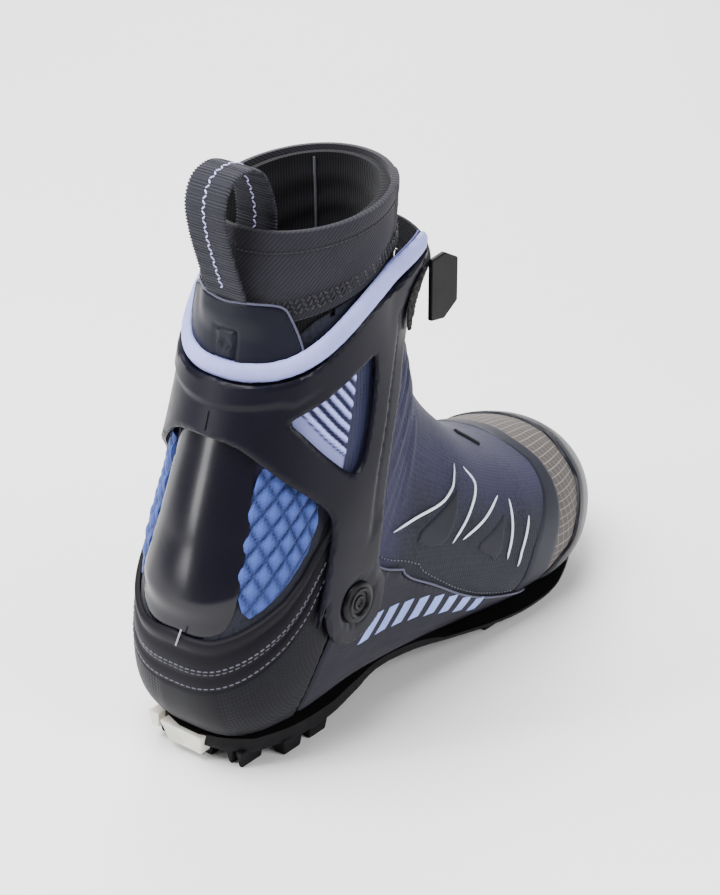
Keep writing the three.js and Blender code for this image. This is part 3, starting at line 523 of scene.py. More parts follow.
def bevelled(piece, width, segments=2):
    """Rounds the sharp edges of a piece by a width in mm."""
    bevel = piece.modifiers.new("edges", 'BEVEL')
    bevel.width = width / 1000
    bevel.segments = segments
    bevel.limit_method = 'ANGLE'
    bevel.angle_limit = math.radians(35)
    return piece


def puffed(piece, voxel=0.0042, pressure=4.0, cap=0.0012):
    """Inflates a padded piece as cloth for twenty frames and keeps the result, with no point
    moved further than cap."""
    scene = bpy.context.scene
    bpy.context.view_layer.objects.active = piece
    for other in bpy.context.selected_objects:
        other.select_set(False)
    piece.select_set(True)
    remesh = piece.modifiers.new("voxels", 'REMESH')
    remesh.mode = 'VOXEL'
    remesh.voxel_size = voxel
    bpy.ops.object.modifier_apply(modifier=remesh.name)
    before = np.empty(len(piece.data.vertices) * 3, np.float32)
    piece.data.vertices.foreach_get('co', before)
    cloth = piece.modifiers.new("cloth", 'CLOTH')
    cloth.settings.use_pressure = True
    cloth.settings.uniform_pressure_force = pressure
    cloth.settings.effector_weights.gravity = 0
    cloth.settings.quality = 5
    cloth.point_cache.frame_start, cloth.point_cache.frame_end = 1, 20
    for step in range(1, 21):
        scene.frame_set(step)
    bpy.ops.object.modifier_apply(modifier=cloth.name)
    scene.frame_set(1)
    after = np.empty_like(before)
    piece.data.vertices.foreach_get('co', after)
    move = (after - before).reshape(-1, 3)
    far = np.linalg.norm(move, axis=1, keepdims=True)
    move *= np.minimum(1, cap / np.maximum(far, 1e-9))
    piece.data.vertices.foreach_set('co', (before.reshape(-1, 3) + move).ravel())
    piece.data.update()
    smooth_skin = piece.modifiers.new("smooth", 'SUBSURF')
    smooth_skin.levels = smooth_skin.render_levels = RENDER_LEVELS
    piece.data.polygons.foreach_set('use_smooth', np.ones(len(piece.data.polygons), bool))
    return piece


# ---- materials ----
def add_node(tree, kind, inputs=(), out=0, to=None, stops=(), **values):
    """Adds a shader node with its settings and links. An input is set to a value, or linked when
    it is given a socket; stops are a ramp's places and colours; to is the socket that the output
    feeds. Returns that output."""
    node = tree.nodes.new('ShaderNode' + kind)
    for key, value in values.items():
        setattr(node, key, value)
    for k, (spot, colour) in enumerate(stops):
        node.color_ramp.elements[k].position = spot
        node.color_ramp.elements[k].color = colour
    for key, value in dict(inputs).items():
        if isinstance(value, bpy.types.NodeSocket):
            tree.links.new(value, node.inputs[key])
        else:
            node.inputs[key].default_value = value
    if to:
        tree.links.new(node.outputs[out], to)
    return node.outputs[out]


def material_of(name, roughness, follows="object", **sockets):
    """A named material with its shader, its patterns following Object co-ordinates or the piece's
    own surface map, both in metres. Returns material, tree, shader and co-ordinates."""
    material = bpy.data.materials.new(name)
    material.use_nodes = True
    tree = material.node_tree
    tree.nodes.clear()
    inputs = {'Roughness': roughness, 'Specular IOR Level': DULL}
    inputs.update({key.replace('_', ' '): value for key, value in sockets.items()})
    surface = tree.nodes.new('ShaderNodeOutputMaterial').inputs['Surface']
    shader = add_node(tree, 'BsdfPrincipled', inputs, to=surface).node
    if follows == "surface":
        where = add_node(tree, 'UVMap', uv_map="surface")
    else:
        where = add_node(tree, 'TexCoord', out='Object')
    return material, tree, shader, where


def shade(colour, k):
    """A colour made darker or lighter by a factor."""
    return (*[min(1.0, c * k) for c in colour[:3]], 1.0)


def span(colour, dark, pale, start=0.0, stop=1.0):
    """The stops of a ramp between two shades of one colour."""
    return (start, shade(colour, dark)), (stop, shade(colour, pale))


def clouded(tree, shader, where, size, detail, stops):
    """Colours the shader along a ramp by cloudy noise whose grain is about size mm."""
    cloud = add_node(tree, 'TexNoise', {'Vector': where, 'Scale': 1000 / size, 'Detail': detail,
                                        'Roughness': 0.55})
    add_node(tree, 'ValToRGB', {0: cloud}, to=shader.inputs['Base Color'], stops=stops)


def grained(tree, shader, where, size, detail, deep):
    """Raises the surface by up to deep mm with noise whose grain is about size mm."""
    grain = add_node(tree, 'TexNoise', {'Vector': where, 'Scale': 1000 / size, 'Detail': detail,
                                        'Roughness': 0.55})
    add_node(tree, 'Bump', {'Height': grain, 'Distance': deep / 1000}, to=shader.inputs['Normal'])


def weave(tree, where, period, how='MULTIPLY'):
    """Threads both ways, period mm apart: one set of even bands times the other, or the greater
    of the two. A band's phase is 20 x scale x metres."""
    warp, weft = (add_node(tree, 'TexWave', {'Vector': where, 'Scale': WAVE / period}, 'Fac',
                           bands_direction=way) for way in ('X', 'Y'))
    return add_node(tree, 'Math', {0: warp, 1: weft}, operation=how)


def moulded_nylon(name, colour, roughness=0.36):
    """Injection-moulded glass-filled nylon: a fine spark-eroded grain breaks up a satin shine."""
    material, tree, shader, where = material_of(name, roughness, IOR=1.53)
    clouded(tree, shader, where, 34, 4, span(colour, 0.82, 1.25, 0.3, 0.7))
    scuffs = add_node(tree, 'TexNoise', {'Vector': where, 'Scale': 1000 / 11, 'Detail': 5,
                                         'Roughness': 0.55})
    add_node(tree, 'MapRange', {'Value': scuffs, 'To Min': roughness - 0.06,
                                'To Max': roughness + 0.1}, to=shader.inputs['Roughness'])
    grained(tree, shader, where, 0.5, 2, 0.05)
    return material


def thermoplastic_film(name, colour, roughness=0.42):
    """Heat-pressed polyurethane film over fabric: smooth and satin, the cloth just telling."""
    material, tree, shader, where = material_of(name, roughness, "surface", IOR=1.5)
    clouded(tree, shader, where, 26, 3, span(colour, 0.8, 1.3, 0.3, 0.7))
    add_node(tree, 'Bump', {'Height': weave(tree, where, 1.1), 'Distance': 0.03 / 1000},
             to=shader.inputs['Normal'])
    return material


def softshell_laminate(name, upper, lower):
    """Three-layer softshell: a tight matt stretch face, coated and greyer low on the foot; the same lower
    colour is also painted as shade behind the ankle and under the cuff.
    """
    material, tree, shader, where = material_of(name, 0.66, "surface", Sheen_Weight=0.1,
                                                Sheen_Roughness=0.4, IOR=1.46)
    # low: the coated lower vamp, plus painted shade where the collar, shield and cuff lie over the cover
    fade = add_node(tree, 'Attribute', out='Fac', attribute_name="low")
    base = add_node(tree, 'ValToRGB', {0: fade}, stops=((0, upper), (1, lower)))
    coarse, fine = (add_node(tree, 'TexNoise', {'Vector': where, 'Scale': 1000 / size,
                    'Detail': detail, 'Roughness': 0.55}) for size, detail in ((30, 4), (1.6, 2)))
    cloud = add_node(tree, 'Math', {0: coarse, 1: fine}, operation='ADD')
    veil = add_node(tree, 'ValToRGB', {0: cloud},
                    stops=((0.7, (0.66, 0.66, 0.7, 1)), (1, (1.3, 1.3, 1.3, 1))))
    add_node(tree, 'Mix', {0: 1.0, 6: base, 7: veil}, 2, shader.inputs['Base Color'],
             data_type='RGBA', blend_type='MULTIPLY')
    add_node(tree, 'Bump', {'Height': weave(tree, where, 1.3), 'Distance': 0.09 / 1000},
             to=shader.inputs['Normal'])
    return material


def ripstop_nylon(name, ground, grid):
    """Coated ripstop: a plain weave, with heavier paler threads 3.4 mm apart one way and 4.6 mm
    the other."""
    material, tree, shader, where = material_of(name, 0.6, "surface", Sheen_Weight=0.05, IOR=1.5)
    across, along = (add_node(tree, 'TexWave', {'Vector': where, 'Scale': WAVE / period}, 'Fac',
                              bands_direction=way) for period, way in ((4.6, 'Y'), (3.4, 'X')))
    across = add_node(tree, 'Math', {0: across, 1: 0.975}, operation='MULTIPLY')
    line = add_node(tree, 'Math', {0: along, 1: across}, operation='MAXIMUM')
    heavy = add_node(tree, 'MapRange', {'Value': line, 'From Min': 0.93, 'From Max': 0.99})
    fine = weave(tree, where, 0.9, 'MAXIMUM')
    body = add_node(tree, 'ValToRGB', {0: fine}, stops=span(ground, 0.72, 1.12, 0.35))
    add_node(tree, 'Mix', {0: heavy, 6: body, 7: grid}, 2, shader.inputs['Base Color'],
             data_type='RGBA')
    plain = add_node(tree, 'Math', {0: fine, 1: 0.4}, operation='MULTIPLY')
    height = add_node(tree, 'Math', {0: heavy, 1: plain}, operation='ADD')
    add_node(tree, 'Bump', {'Height': height, 'Distance': 0.12 / 1000},
             to=shader.inputs['Normal'])
    return material


def striped(tree, shader, where, period, way, distortion, cloud_size, stops, deep):
    """Yarn wales period mm apart, each dyed a little unevenly by cloudy noise."""
    wale = add_node(tree, 'TexWave', {'Vector': where, 'Scale': WAVE / period,
                                      'Distortion': distortion}, 'Fac', bands_direction=way)
    cloud = add_node(tree, 'TexNoise', {'Vector': where, 'Scale': 1000 / cloud_size, 'Detail': 3,
                                        'Roughness': 0.55})
    tone = add_node(tree, 'Math', {0: wale, 1: cloud}, operation='MULTIPLY')
    add_node(tree, 'ValToRGB', {0: tone}, to=shader.inputs['Base Color'], stops=stops)
    add_node(tree, 'Bump', {'Height': wale, 'Distance': deep / 1000}, to=shader.inputs['Normal'])


def twill_band(name, colour):
    """Elastic twill: steep diagonal wales of soft charcoal yarn."""
    material, tree, shader, where = material_of(name, 0.85, "surface", Sheen_Weight=0.12,
                                                Sheen_Roughness=0.5)
    striped(tree, shader, where, 1.0, 'DIAGONAL', 0.4, 18, span(colour, 0.7, 1.35, 0.1, 0.6), 0.1)
    return material


def brushed_knit(name, colour):
    """Brushed polyester lining knit: soft, dark, fine vertical wales."""
    material, tree, shader, where = material_of(name, 0.9, "surface", Sheen_Weight=0.08)
    striped(tree, shader, where, 1.4, 'X', 0.8, 22, span(colour, 0.5, 1.5, 0.05, 0.6), 0.15)
    return material


def woven_webbing(name, colour, pitch=1.2):
    """Woven polyester webbing: ribs across the strap, each bound by its warp yarns."""
    material, tree, shader, where = material_of(name, 0.8, "surface", Sheen_Weight=0.08)
    ribs, warp = (add_node(tree, 'TexWave', {'Vector': where, 'Scale': WAVE / period}, 'Fac',
                           bands_direction=way) for period, way in ((pitch, 'Y'), (0.8, 'X')))
    tone = add_node(tree, 'Math', {0: ribs, 1: warp}, operation='ADD')
    add_node(tree, 'ValToRGB', {0: tone}, to=shader.inputs['Base Color'],
             stops=span(colour, 0.55, 1.45, 0.4))
    bound = add_node(tree, 'Math', {0: warp, 1: 0.4}, operation='MULTIPLY')
    height = add_node(tree, 'Math', {0: ribs, 1: bound}, operation='ADD')
    add_node(tree, 'Bump', {'Height': height, 'Distance': 0.2 / 1000},
             to=shader.inputs['Normal'])
    return material


def microfibre(name, colour, roughness=0.5):
    """Brushed microfibre over foam: pale nap that lightens at grazing angles."""
    material, tree, shader, where = material_of(
        name, roughness, Sheen_Weight=0.12, Sheen_Roughness=0.35, Sheen_Tint=(0.9, 0.9, 1.0, 1.0))
    clouded(tree, shader, where, 24, 4, span(colour, 0.84, 1.1, 0.3, 0.7))
    grained(tree, shader, where, 0.7, 3, 0.06)
    return material


def ribbed_foam(name, colour, groove):
    """Heat-moulded foam under satin knit. Its colour follows the rib height: painted shade in the grooves
    and a painted highlight on the crowns.
    """
    material, tree, shader, where = material_of(name, 0.42, "surface", Sheen_Weight=0.1,
                                                Coat_Weight=0.05)
    rib = add_node(tree, 'Attribute', out='Fac', attribute_name="rib")
    # groove is the painted shade between the ribs; the crown stop, 1.35 times the lilac, is a painted
    # highlight
    add_node(tree, 'ValToRGB', {0: rib}, to=shader.inputs['Base Color'],
             stops=((0.1, groove), (0.95, shade(colour, 1.35))))
    grained(tree, shader, where, 0.8, 2, 0.05)
    return material


def quilted_mesh(name, colour):
    """Spacer mesh: small open holes over padding. Its colour follows the padding's height: painted shade
    darkens the sewn valleys and the crowns are a little lighter.
    """
    material, tree, shader, where = material_of(name, 0.7, "surface", Sheen_Weight=0.12)
    # crown: the padding's height, painted as shade in the valleys and a slight highlight on the crowns
    crown = add_node(tree, 'Attribute', out='Fac', attribute_name="rib")
    hole = weave(tree, where, 1.3)
    faint = add_node(tree, 'Math', {0: hole, 1: 0.22}, operation='MULTIPLY')
    tone = add_node(tree, 'Math', {0: crown, 1: faint}, operation='ADD')
    add_node(tree, 'ValToRGB', {0: tone}, to=shader.inputs['Base Color'],
             stops=span(colour, 0.22, 1.15))
    add_node(tree, 'Bump', {'Height': hole, 'Distance': 0.12 / 1000}, to=shader.inputs['Normal'])
    return material


def pressed_weave(name, colour):
    """Coated fine weave moulded over the heel counter: small even checks with a dull shine."""
    material, tree, shader, where = material_of(name, 0.5, "surface", IOR=1.5)
    plain = add_node(tree, 'Attribute', out='Fac', attribute_name="plain")
    shown = add_node(tree, 'Math', {0: 1.0, 1: plain}, operation='SUBTRACT')
    check = add_node(tree, 'Math', {0: weave(tree, where, 1.25), 1: shown}, operation='MULTIPLY')
    add_node(tree, 'ValToRGB', {0: check}, to=shader.inputs['Base Color'],
             stops=span(colour, 0.8, 1.6, 0.1, 0.9))
    add_node(tree, 'Bump', {'Height': check, 'Distance': 0.12 / 1000}, to=shader.inputs['Normal'])
    return material


def vulcanised_rubber(name, colour):
    """Vulcanised rubber: black, dull, with a faint bloom and scuffed grain."""
    material, tree, shader, where = material_of(name, 0.68, IOR=1.52)
    clouded(tree, shader, where, 14, 5, span(colour, 0.75, 1.6, 0.3, 0.75))
    grained(tree, shader, where, 0.9, 4, 0.1)
    return material


def hard_polyurethane(name, colour):
    """Moulded off-white polyurethane: slightly yellowed, satin, scuffed in patches."""
    material, tree, shader, where = material_of(name, 0.42, IOR=1.5, Subsurface_Weight=0.08)
    clouded(tree, shader, where, 9, 5, span(colour, 0.72, 1, 0.25, 0.6))
    grained(tree, shader, where, 1.4, 3, 0.08)
    return material


def polished_shield(name, colour):
    """High-gloss moulded polycarbonate: deep colour under a clear skin."""
    material, tree, shader, where = material_of(name, 0.24, IOR=1.58, Coat_Weight=0.25,
                                                Coat_Roughness=0.15)
    clouded(tree, shader, where, 40, 2, span(colour, 0.85, 1.2))
    grained(tree, shader, where, 5, 2, 0.03)
    return material


def sewing_thread(name, colour):
    """Bonded polyester thread: twisted, a little shiny."""
    material, tree, shader, where = material_of(name, 0.5, Sheen_Weight=0.3)
    clouded(tree, shader, where, 0.8, 2, span(colour, 0.7, 1.2))
    grained(tree, shader, where, 0.5, 2, 0.05)
    return material


def drawn_steel(name, colour):
    """Drawn stainless steel: fine scratches along the bar."""
    material, tree, shader, where = material_of(name, 0.28, Metallic=1.0)
    stretched = add_node(tree, 'Mapping', {'Vector': where, 'Scale': (0.1, 1, 1)})
    clouded(tree, shader, stretched, 0.4, 4, span(colour, 0.7, 1.1, 0.3, 0.7))
    grained(tree, shader, stretched, 0.4, 4, 0.02)
    return material


def loop_pile(name, colour):
    """Nylon loop pile: dark fuzz with paler tips."""
    material, tree, shader, where = material_of(name, 0.9, Sheen_Weight=0.1)
    fuzz = add_node(tree, 'TexNoise', {'Vector': where, 'Scale': 1000 / 1.1, 'Detail': 6,
                                       'Roughness': 0.75})
    add_node(tree, 'ValToRGB', {0: fuzz}, to=shader.inputs['Base Color'],
             stops=span(colour, 0.3, 3.4, 0.42, 0.68))
    add_node(tree, 'Bump', {'Height': fuzz, 'Distance': 0.9 / 1000}, to=shader.inputs['Normal'])
    return material


# ---- shared operator helpers ----
def settings():
    """The sizes and the colours that a user may have changed."""
    scene = bpy.context.scene
    return scene.boot_sizes, scene.boot_colours


def paint(name, build, *arguments, **options):
    """A material made once and shared."""
    return bpy.data.materials.get(name) or build(name, *arguments, **options)


def cuff_plastic():
    """The cuff's own nylon."""
    return paint("moulded_nylon_navy", moulded_nylon, tuple(settings()[1].shell))


def black_nylon():
    """Nylon of the toe block, sole plate and zip teeth."""
    return paint("moulded_nylon_black", moulded_nylon, linear("#1a1a1e"), roughness=0.45)


def black_foam():
    """Uncovered foam at the ankle and behind the ribbed pad."""
    return paint("bare_black_foam", microfibre, linear("#0f0f13"), roughness=0.8)


def cut_edge():
    """The paler cut edge of a fused film."""
    return paint("cut_film_edge", thermoplastic_film, linear("#4a4a5c"), roughness=0.35)


def dark_thread():
    """Thread of the side seam, the collar and the lining."""
    return paint("sewing_thread_dark", sewing_thread, linear("#4a4955"))


def lilac_thread():
    """Thread of the pull loop."""
    return paint("sewing_thread_lilac", sewing_thread, linear("#b9b6e6"))


def angles_at(t, first, last, step):
    """Angles from first to last whose places on the ring at t are about step apart."""
    return even(first, last, lambda v: place(np.full(len(v), t), v), step)


def through_back(first, step, t=0.8):
    """Angles from first on the lateral side through the back to first on the medial side."""
    return angles_at(t, first, 360 - first, step)


def paint_nodes(material, *nodes):
    """Gives carried-over parts a material."""
    for name in nodes:
        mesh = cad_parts[name].data
        mesh.materials.clear()
        mesh.materials.append(material)


# ---- seams, as (phi, t) ----
SOLE_EDGE = 149
TOE_SEAM = [[0, 0.255], [19, 0.261], [38, 0.259], [57, 0.268], [75, 0.281], [96, 0.295],
            [125, 0.302], [149, 0.302]]
BUMPER_TOP = [[0, 0.162], [24, 0.167], [46, 0.19], [64, 0.2], [79, 0.225], [96, 0.25],
              [104, 0.275], [122, 0.288], [180, 0.288]]
PANEL_HIGH = [(88, 0.622), (87.6, 0.5833), (88.5, 0.5417), (90.8, 0.5), (95.5, 0.4583),
              (104, 0.4167), (112.5, 0.375), (121, 0.3333), (130, 0.306)]
PANEL_LOW = [(149, 0.306), (149, 0.3333), (149, 0.375), (149, 0.4167), (149, 0.49),
             (149, 0.535), (149, 0.552)]
COUNTER_FRONT = [(149, 0.55), (135, 0.572), (122, 0.586), (111.5, 0.598), (100, 0.615), (94, 0.624)]
COUNTER_TOP = [(92, 0.655), (98, 0.668), (104, 0.668), (113, 0.655), (124, 0.653), (160, 0.653),
               (180, 0.655)]
COLLAR_LOW = [[100, 0.662], [104, 0.662], [113, 0.652], [124, 0.65], [180, 0.65]]
COLLAR_TOP = [[100, 0.70], [104, 0.698], [110, 0.693], [116, 0.686], [124, 0.682], [160, 0.683],
              [180, 0.688]]
CUFF_FRONT = [(42, 0.842), (46, 0.825), (50, 0.814), (57, 0.803), (62, 0.791), (68, 0.756),
              (73, 0.718), (77.5, 0.682), (82.5, 0.647), (86, 0.617)]
CUFF_REAR = [(112, 0.633), (109, 0.646), (105.5, 0.669), (104, 0.698), (107, 0.721),
             (120.5, 0.756), (130.5, 0.777), (143.5, 0.802), (157.5, 0.823), (171.5, 0.83)]
CUFF_TOP = [[42, 0.90], [46, 0.908], [50, 0.91], [57, 0.906], [62, 0.902], [68, 0.90],
            [73, 0.90], [82.5, 0.904], [88, 0.905], [98, 0.901], [104.5, 0.894], [108.5, 0.891],
            [120.5, 0.882], [130.5, 0.878], [143.5, 0.878], [157.5, 0.879], [180, 0.882]]
WINDOW = [(95.5, 0.7285), (97, 0.73), (104, 0.751), (110.5, 0.771), (118.5, 0.794), (128, 0.82),
          (134.5, 0.8345), (133, 0.838), (127, 0.839), (116, 0.841), (102.5, 0.845), (92, 0.845),
          (88.5, 0.843), (88, 0.836), (89.5, 0.80), (91, 0.77), (92.5, 0.745), (93.5, 0.731)]


class BOOT_OT_stage(bpy.types.Operator):
    """Sets the pale floor, the soft studio lights and the camera"""
    bl_idname = "boot.stage"
    bl_label = "Stage"

    def execute(self, context):
        scene = context.scene
        mesh = bpy.data.meshes.new("floor")
        reach = 6.0
        mesh.from_pydata([(-reach, -reach, 0), (reach, -reach, 0), (reach, reach, 0),
                          (-reach, reach, 0)], [], [(0, 1, 2, 3)])
        floor = bpy.data.objects.new("floor", mesh)
        material, tree, shader, where = material_of("studio_paper", 0.9)
        clouded(tree, shader, where, 300, 2, ((0, linear("#f3f3f4")), (1, linear("#f8f8f8"))))
        mesh.materials.append(material)
        scene.collection.objects.link(floor)
        target = Vector((0.02821, 0.05220, 0.12706))
        for name, spot, size, tall, power in (
                ("top_light", (-0.25, -0.3, 1.5), 1.2, 1.2, 66),
                ("strip_light", (-0.75, -1.15, 0.75), 0.22, 1.3, 18),
                ("side_light", (1.5, 0.25, 0.85), 0.9, 1.1, 24),
                ("back_light", (-0.9, 1.2, 0.9), 0.8, 0.8, 24)):
            data = bpy.data.lights.new(name, 'AREA')
            data.shape, data.size, data.size_y, data.energy = 'RECTANGLE', size, tall, power
            light = bpy.data.objects.new(name, data)
            light.location = spot
            light.rotation_euler = (target - light.location).to_track_quat('-Z', 'Y').to_euler()
            scene.collection.objects.link(light)
        world = bpy.data.worlds.new("studio")
        world.use_nodes = True
        world.node_tree.nodes["Background"].inputs['Color'].default_value = (1, 1, 1, 1)
        world.node_tree.nodes["Background"].inputs['Strength'].default_value = 0.28
        scene.world = world
        camera = bpy.data.objects.new("camera", bpy.data.cameras.new("camera"))
        camera.data.lens, camera.data.sensor_width = 104.2, 36
        azimuth, height, away = math.radians(39), math.radians(27), 1.10903
        camera.location = target + away * Vector((math.sin(azimuth) * math.cos(height),
                                                  -math.cos(azimuth) * math.cos(height),
                                                  math.sin(height)))
        camera.rotation_euler = (target - camera.location).to_track_quat('-Z', 'Y').to_euler()
        scene.collection.objects.link(camera)
        scene.camera = camera
        return {'FINISHED'}


class BOOT_OT_lining(bpy.types.Operator):
    """Makes the padded inner boot and the footbed"""
    bl_idname = "boot.lining"
    bl_label = "Lining"

    def execute(self, context):
        knit = paint("brushed_knit_lining", brushed_knit, linear("#17171b"))
        around = np.linspace(-180, 180, 121)[:-1]
        puff = lambda t: 0.35 * np.cos(t * 160)
        ahead = lambda p: smooth((120 - fold(p)) / 90)
        foot = strip_grid(flat_seam(0.02), lambda p: 0.66 - 0.09 * ahead(p),
                          around, 110, wrap=True)
        piece = make("inner_boot_foot", shell_of(foot, LINER_IN, LINER_OUT, 0.3), knit, "boot",
                     ("liner_heel", "liner_foot", "liner_toe"))
        shaft = strip_grid(lambda p: 0.72 + 0.08 * ahead(p), flat_seam(0.994),
                           around, 80, wrap=True)
        piece = make("inner_boot_shaft", shell_of(shaft, LINER_IN + puff(shaft[1]), LINER_OUT, 1.2), knit,
                     "cuff", ("liner_shaft",))
        bed = cut_grid([(132, 0.08), (228, 0.08), (228, 0.6), (132, 0.6)], cell=2.4)
        foam = paint("die_cut_foam", microfibre, linear("#3d4048"), roughness=0.8)
        piece = make("foam_footbed", shell_of(bed, -3.2, -0.4, 0.6), foam, "boot",
                     ("footbed",))
        seam, out = on_surface([(-34, 0.80), (-33, 0.90), (-33, 0.988)], -0.1)
        make("lining_seam", sweep(seam, -out, oval(0.5, 0.4, 8)), dark_thread(), "cuff")
        return {'FINISHED'}


class BOOT_OT_cover(bpy.types.Operator):
    """Makes the softshell cover and its fused facets"""
    bl_idname = "boot.cover"
    bl_label = "Softshell cover"

    def execute(self, context):
        sizes, colours = settings()
        cloth = paint("softshell_laminate_navy", softshell_laminate, tuple(colours.softshell),
                      tuple(colours.lower))
        seam = edge(TOE_SEAM)
        foot = [(p, float(seam(p)) - 0.004) for p in (-149, -122, -96, -75, -57, -38, -19, 0, 19,
                                                      38, 57, 75, 96, 122, 149)]
        outline = foot + [(149, 0.40), (149, 0.585), (200, 0.60), (200, 0.94), (-200, 0.94),
                          (-200, 0.60), (-149, 0.585), (-149, 0.40)]
        phi, t, away, faces = cut_grid(outline, cell=sizes.cell * 1.2, wrap=True)
        p = fold(phi)
        crumple = (0.55 * np.sin(t * 235 + p * 0.05) * smooth((t - 0.52) / 0.06)
                   * smooth((0.80 - t) / 0.08) * smooth((95 - p) / 40)
                   * smooth((np.abs(phi - 17) - 5) / 14))
        band = -0.9 * smooth((t - 0.915) / 0.02)
        puff = 0.5 * np.sin(np.radians(np.clip(p, 0, 90) * 2)) * smooth((0.5 - t) / 0.1)
        low = smooth((p - 46) / 34) * smooth((0.56 - t) / 0.06)
        # painted shade: darkens the cover towards the lower colour behind the ankle, under the collar and
        # shield, and high up under the cuff and band
        dark = np.maximum(smooth((p - 98) / 6) * smooth((0.74 - t) / 0.03),
                          smooth((t - 0.83) / 0.04))
        grid = (phi, t, away, faces)
        points, every, uv = shell_of(grid, COVER_IN, COVER_OUT + crumple + puff + band, 0.3)
        # the low attribute carries the coated lower vamp and this painted shade
        make("softshell_cover", (points, every, uv), cloth, "boot",
             ("vamp_cover", "ankle_gaiter", "gaiter_sleeve"),
             {"low": np.tile(np.maximum(low, dark), 2)}, blend=True)
        film = paint("fused_film_dark", thermoplastic_film, linear("#181922"), roughness=0.5)
        facets = ([(57, 0.437), (62, 0.446), (70, 0.466), (81, 0.505), (84, 0.474), (83.5, 0.452),
                   (72, 0.438)],
                  [(65, 0.358), (74, 0.372), (85, 0.404), (89, 0.387), (91.5, 0.366), (80, 0.362)])
        for side, turn in SIDES:
            parts = [shell_of(cut_grid(turn(f), cell=0.9, soft=1), COVER_OUT + 0.1,
                              COVER_OUT + 0.5, 0.25)
                     for f in facets]
            make(f"vamp_facets_{side}", parts, film, "boot")
        return {'FINISHED'}


class BOOT_OT_vamp_trim(bpy.types.Operator):
    """Makes the pale vamp lines, the overlay round the toe cap and the zip's end"""
    bl_idname = "boot.vamp_trim"
    bl_label = "Vamp trim"

    def execute(self, context):
        pale = paint("reflective_film", thermoplastic_film, linear("#d4d8ee"), roughness=0.35)
        lines = ([(47, 0.440), (53, 0.444), (60, 0.451), (68.5, 0.478), (78.5, 0.555)],
                 [(46.5, 0.420), (54, 0.403), (69.5, 0.419), (83, 0.441)],
                 [(58, 0.365), (71.5, 0.394), (81.5, 0.426)],
                 [(59.5, 0.348), (75.5, 0.350), (91, 0.355)],
                 [(69.5, 0.324), (84.5, 0.334), (95.5, 0.340)])
        for side, turn in SIDES:
            parts = []
            for line in lines:
                points, out = on_surface(turn(line), COVER_OUT + 0.62, 0.8)
                k = np.linspace(-1, 1, len(points))
                width = 0.7 * np.sqrt(np.clip(1.02 - k ** 4, 0.02, 1))
                profile = oval(1, 1, 8)[None] * np.stack([width, 0.45 * width / 0.7], axis=1)[:, None]
                parts.append(sweep(points, out, profile))
            make(f"vamp_lines_{side}", parts, pale, "boot")
        film = paint("fused_film_grey", thermoplastic_film, linear("#20212a"), roughness=0.5)
        seam = edge(TOE_SEAM)
        angles = angles_at(0.28, -SOLE_EDGE, SOLE_EDGE, 1.6)
        ring = strip_grid(lambda p: seam(p) - 0.010, lambda p: seam(p) + 0.016
                          + 0.012 * smooth((fold(p) - 40) / 50), angles, 9)
        make("toe_overlay", shell_of(ring, COVER_OUT + 0.2, COVER_OUT + 0.8, 0.5), film, "boot")
        slit, out = on_surface([(15.5, 0.372), (19, 0.355), (23.5, 0.343)], COVER_OUT + 0.8, 0.7)
        rubber = paint("moulded_rubber_trim", vulcanised_rubber, linear("#17171c"))
        make("zip_end_stop", sweep(slit, out, oval(1.5, 0.8, 12)), rubber, "boot")
        row, out = on_surface([(p - 2.4, t) for p, t in PANEL_HIGH[1:-1]], COVER_OUT + 0.35)
        rows = [stitches(row, out, 1.5, 1.1, 0.35)]
        row, out = on_surface([(2.4 - p, t) for p, t in PANEL_HIGH[1:-1]], COVER_OUT + 0.35)
        rows.append(stitches(row, out, 1.5, 1.1, 0.35))
        make("side_seam_stitches", rows, dark_thread(), "boot")
        return {'FINISHED'}


class BOOT_OT_toe(bpy.types.Operator):
    """Makes the ripstop toe cap and the rubber bumper"""
    bl_idname = "boot.toe"
    bl_label = "Toe cap and bumper"

    def execute(self, context):
        colours = settings()[1]
        cloth = paint("ripstop_nylon_grey", ripstop_nylon, tuple(colours.toe),
                      tuple(colours.toe_grid))
        angles = angles_at(0.2, -SOLE_EDGE, SOLE_EDGE, 1.5)
        seam, top = edge(TOE_SEAM), edge(BUMPER_TOP)
        cap = strip_grid(flat_seam(0.002), seam, angles, 70)
        make("ripstop_toe_cap", shell_of(cap, COVER_IN, COVER_OUT, 0.3), cloth, "boot",
             ("toe_cap",))
        rubber = paint("glossy_rand_rubber", thermoplastic_film, linear("#16171d"), roughness=0.36)
        rand = strip_grid(flat_seam(0.002), top, angles, 60)
        swell = 0.5 * smooth(rand[2] / 5)
        below = strip_grid(flat_seam(0.002), flat_seam(0.2),
                           np.linspace(140, 220, 40), 40)
        steps, across = 61, 9
        angle = np.linspace(0, 180, steps)
        share = np.linspace(0, 1, across)[None, :, None]
        near, far = (skin(np.full(steps, 0.002), way * angle, np.full(steps, PANEL_OUT - 0.5))[:, None]
                     for way in (1, -1))
        front = near * (1 - share) + far * share
        front[..., 1] += 0.3 - 0.9 * (2 * share[..., 0] - 1) ** 4
        both = np.concatenate([front.reshape(-1, 3), front.reshape(-1, 3) - (0, 1.4, 0)])
        tip = (both, facing_out(both, both_sides(grid_faces(steps, across), steps * across)), both[:, :2])
        parts = [shell_of(rand, COVER_OUT + 0.1, PANEL_OUT - 0.5 + swell, 0.9),
                 shell_of(below, COVER_OUT + 0.1, PANEL_OUT - 0.7, 0.6), tip]
        make("toe_rand", parts, rubber, "boot", ("toe_bumper",))
        return {'FINISHED'}


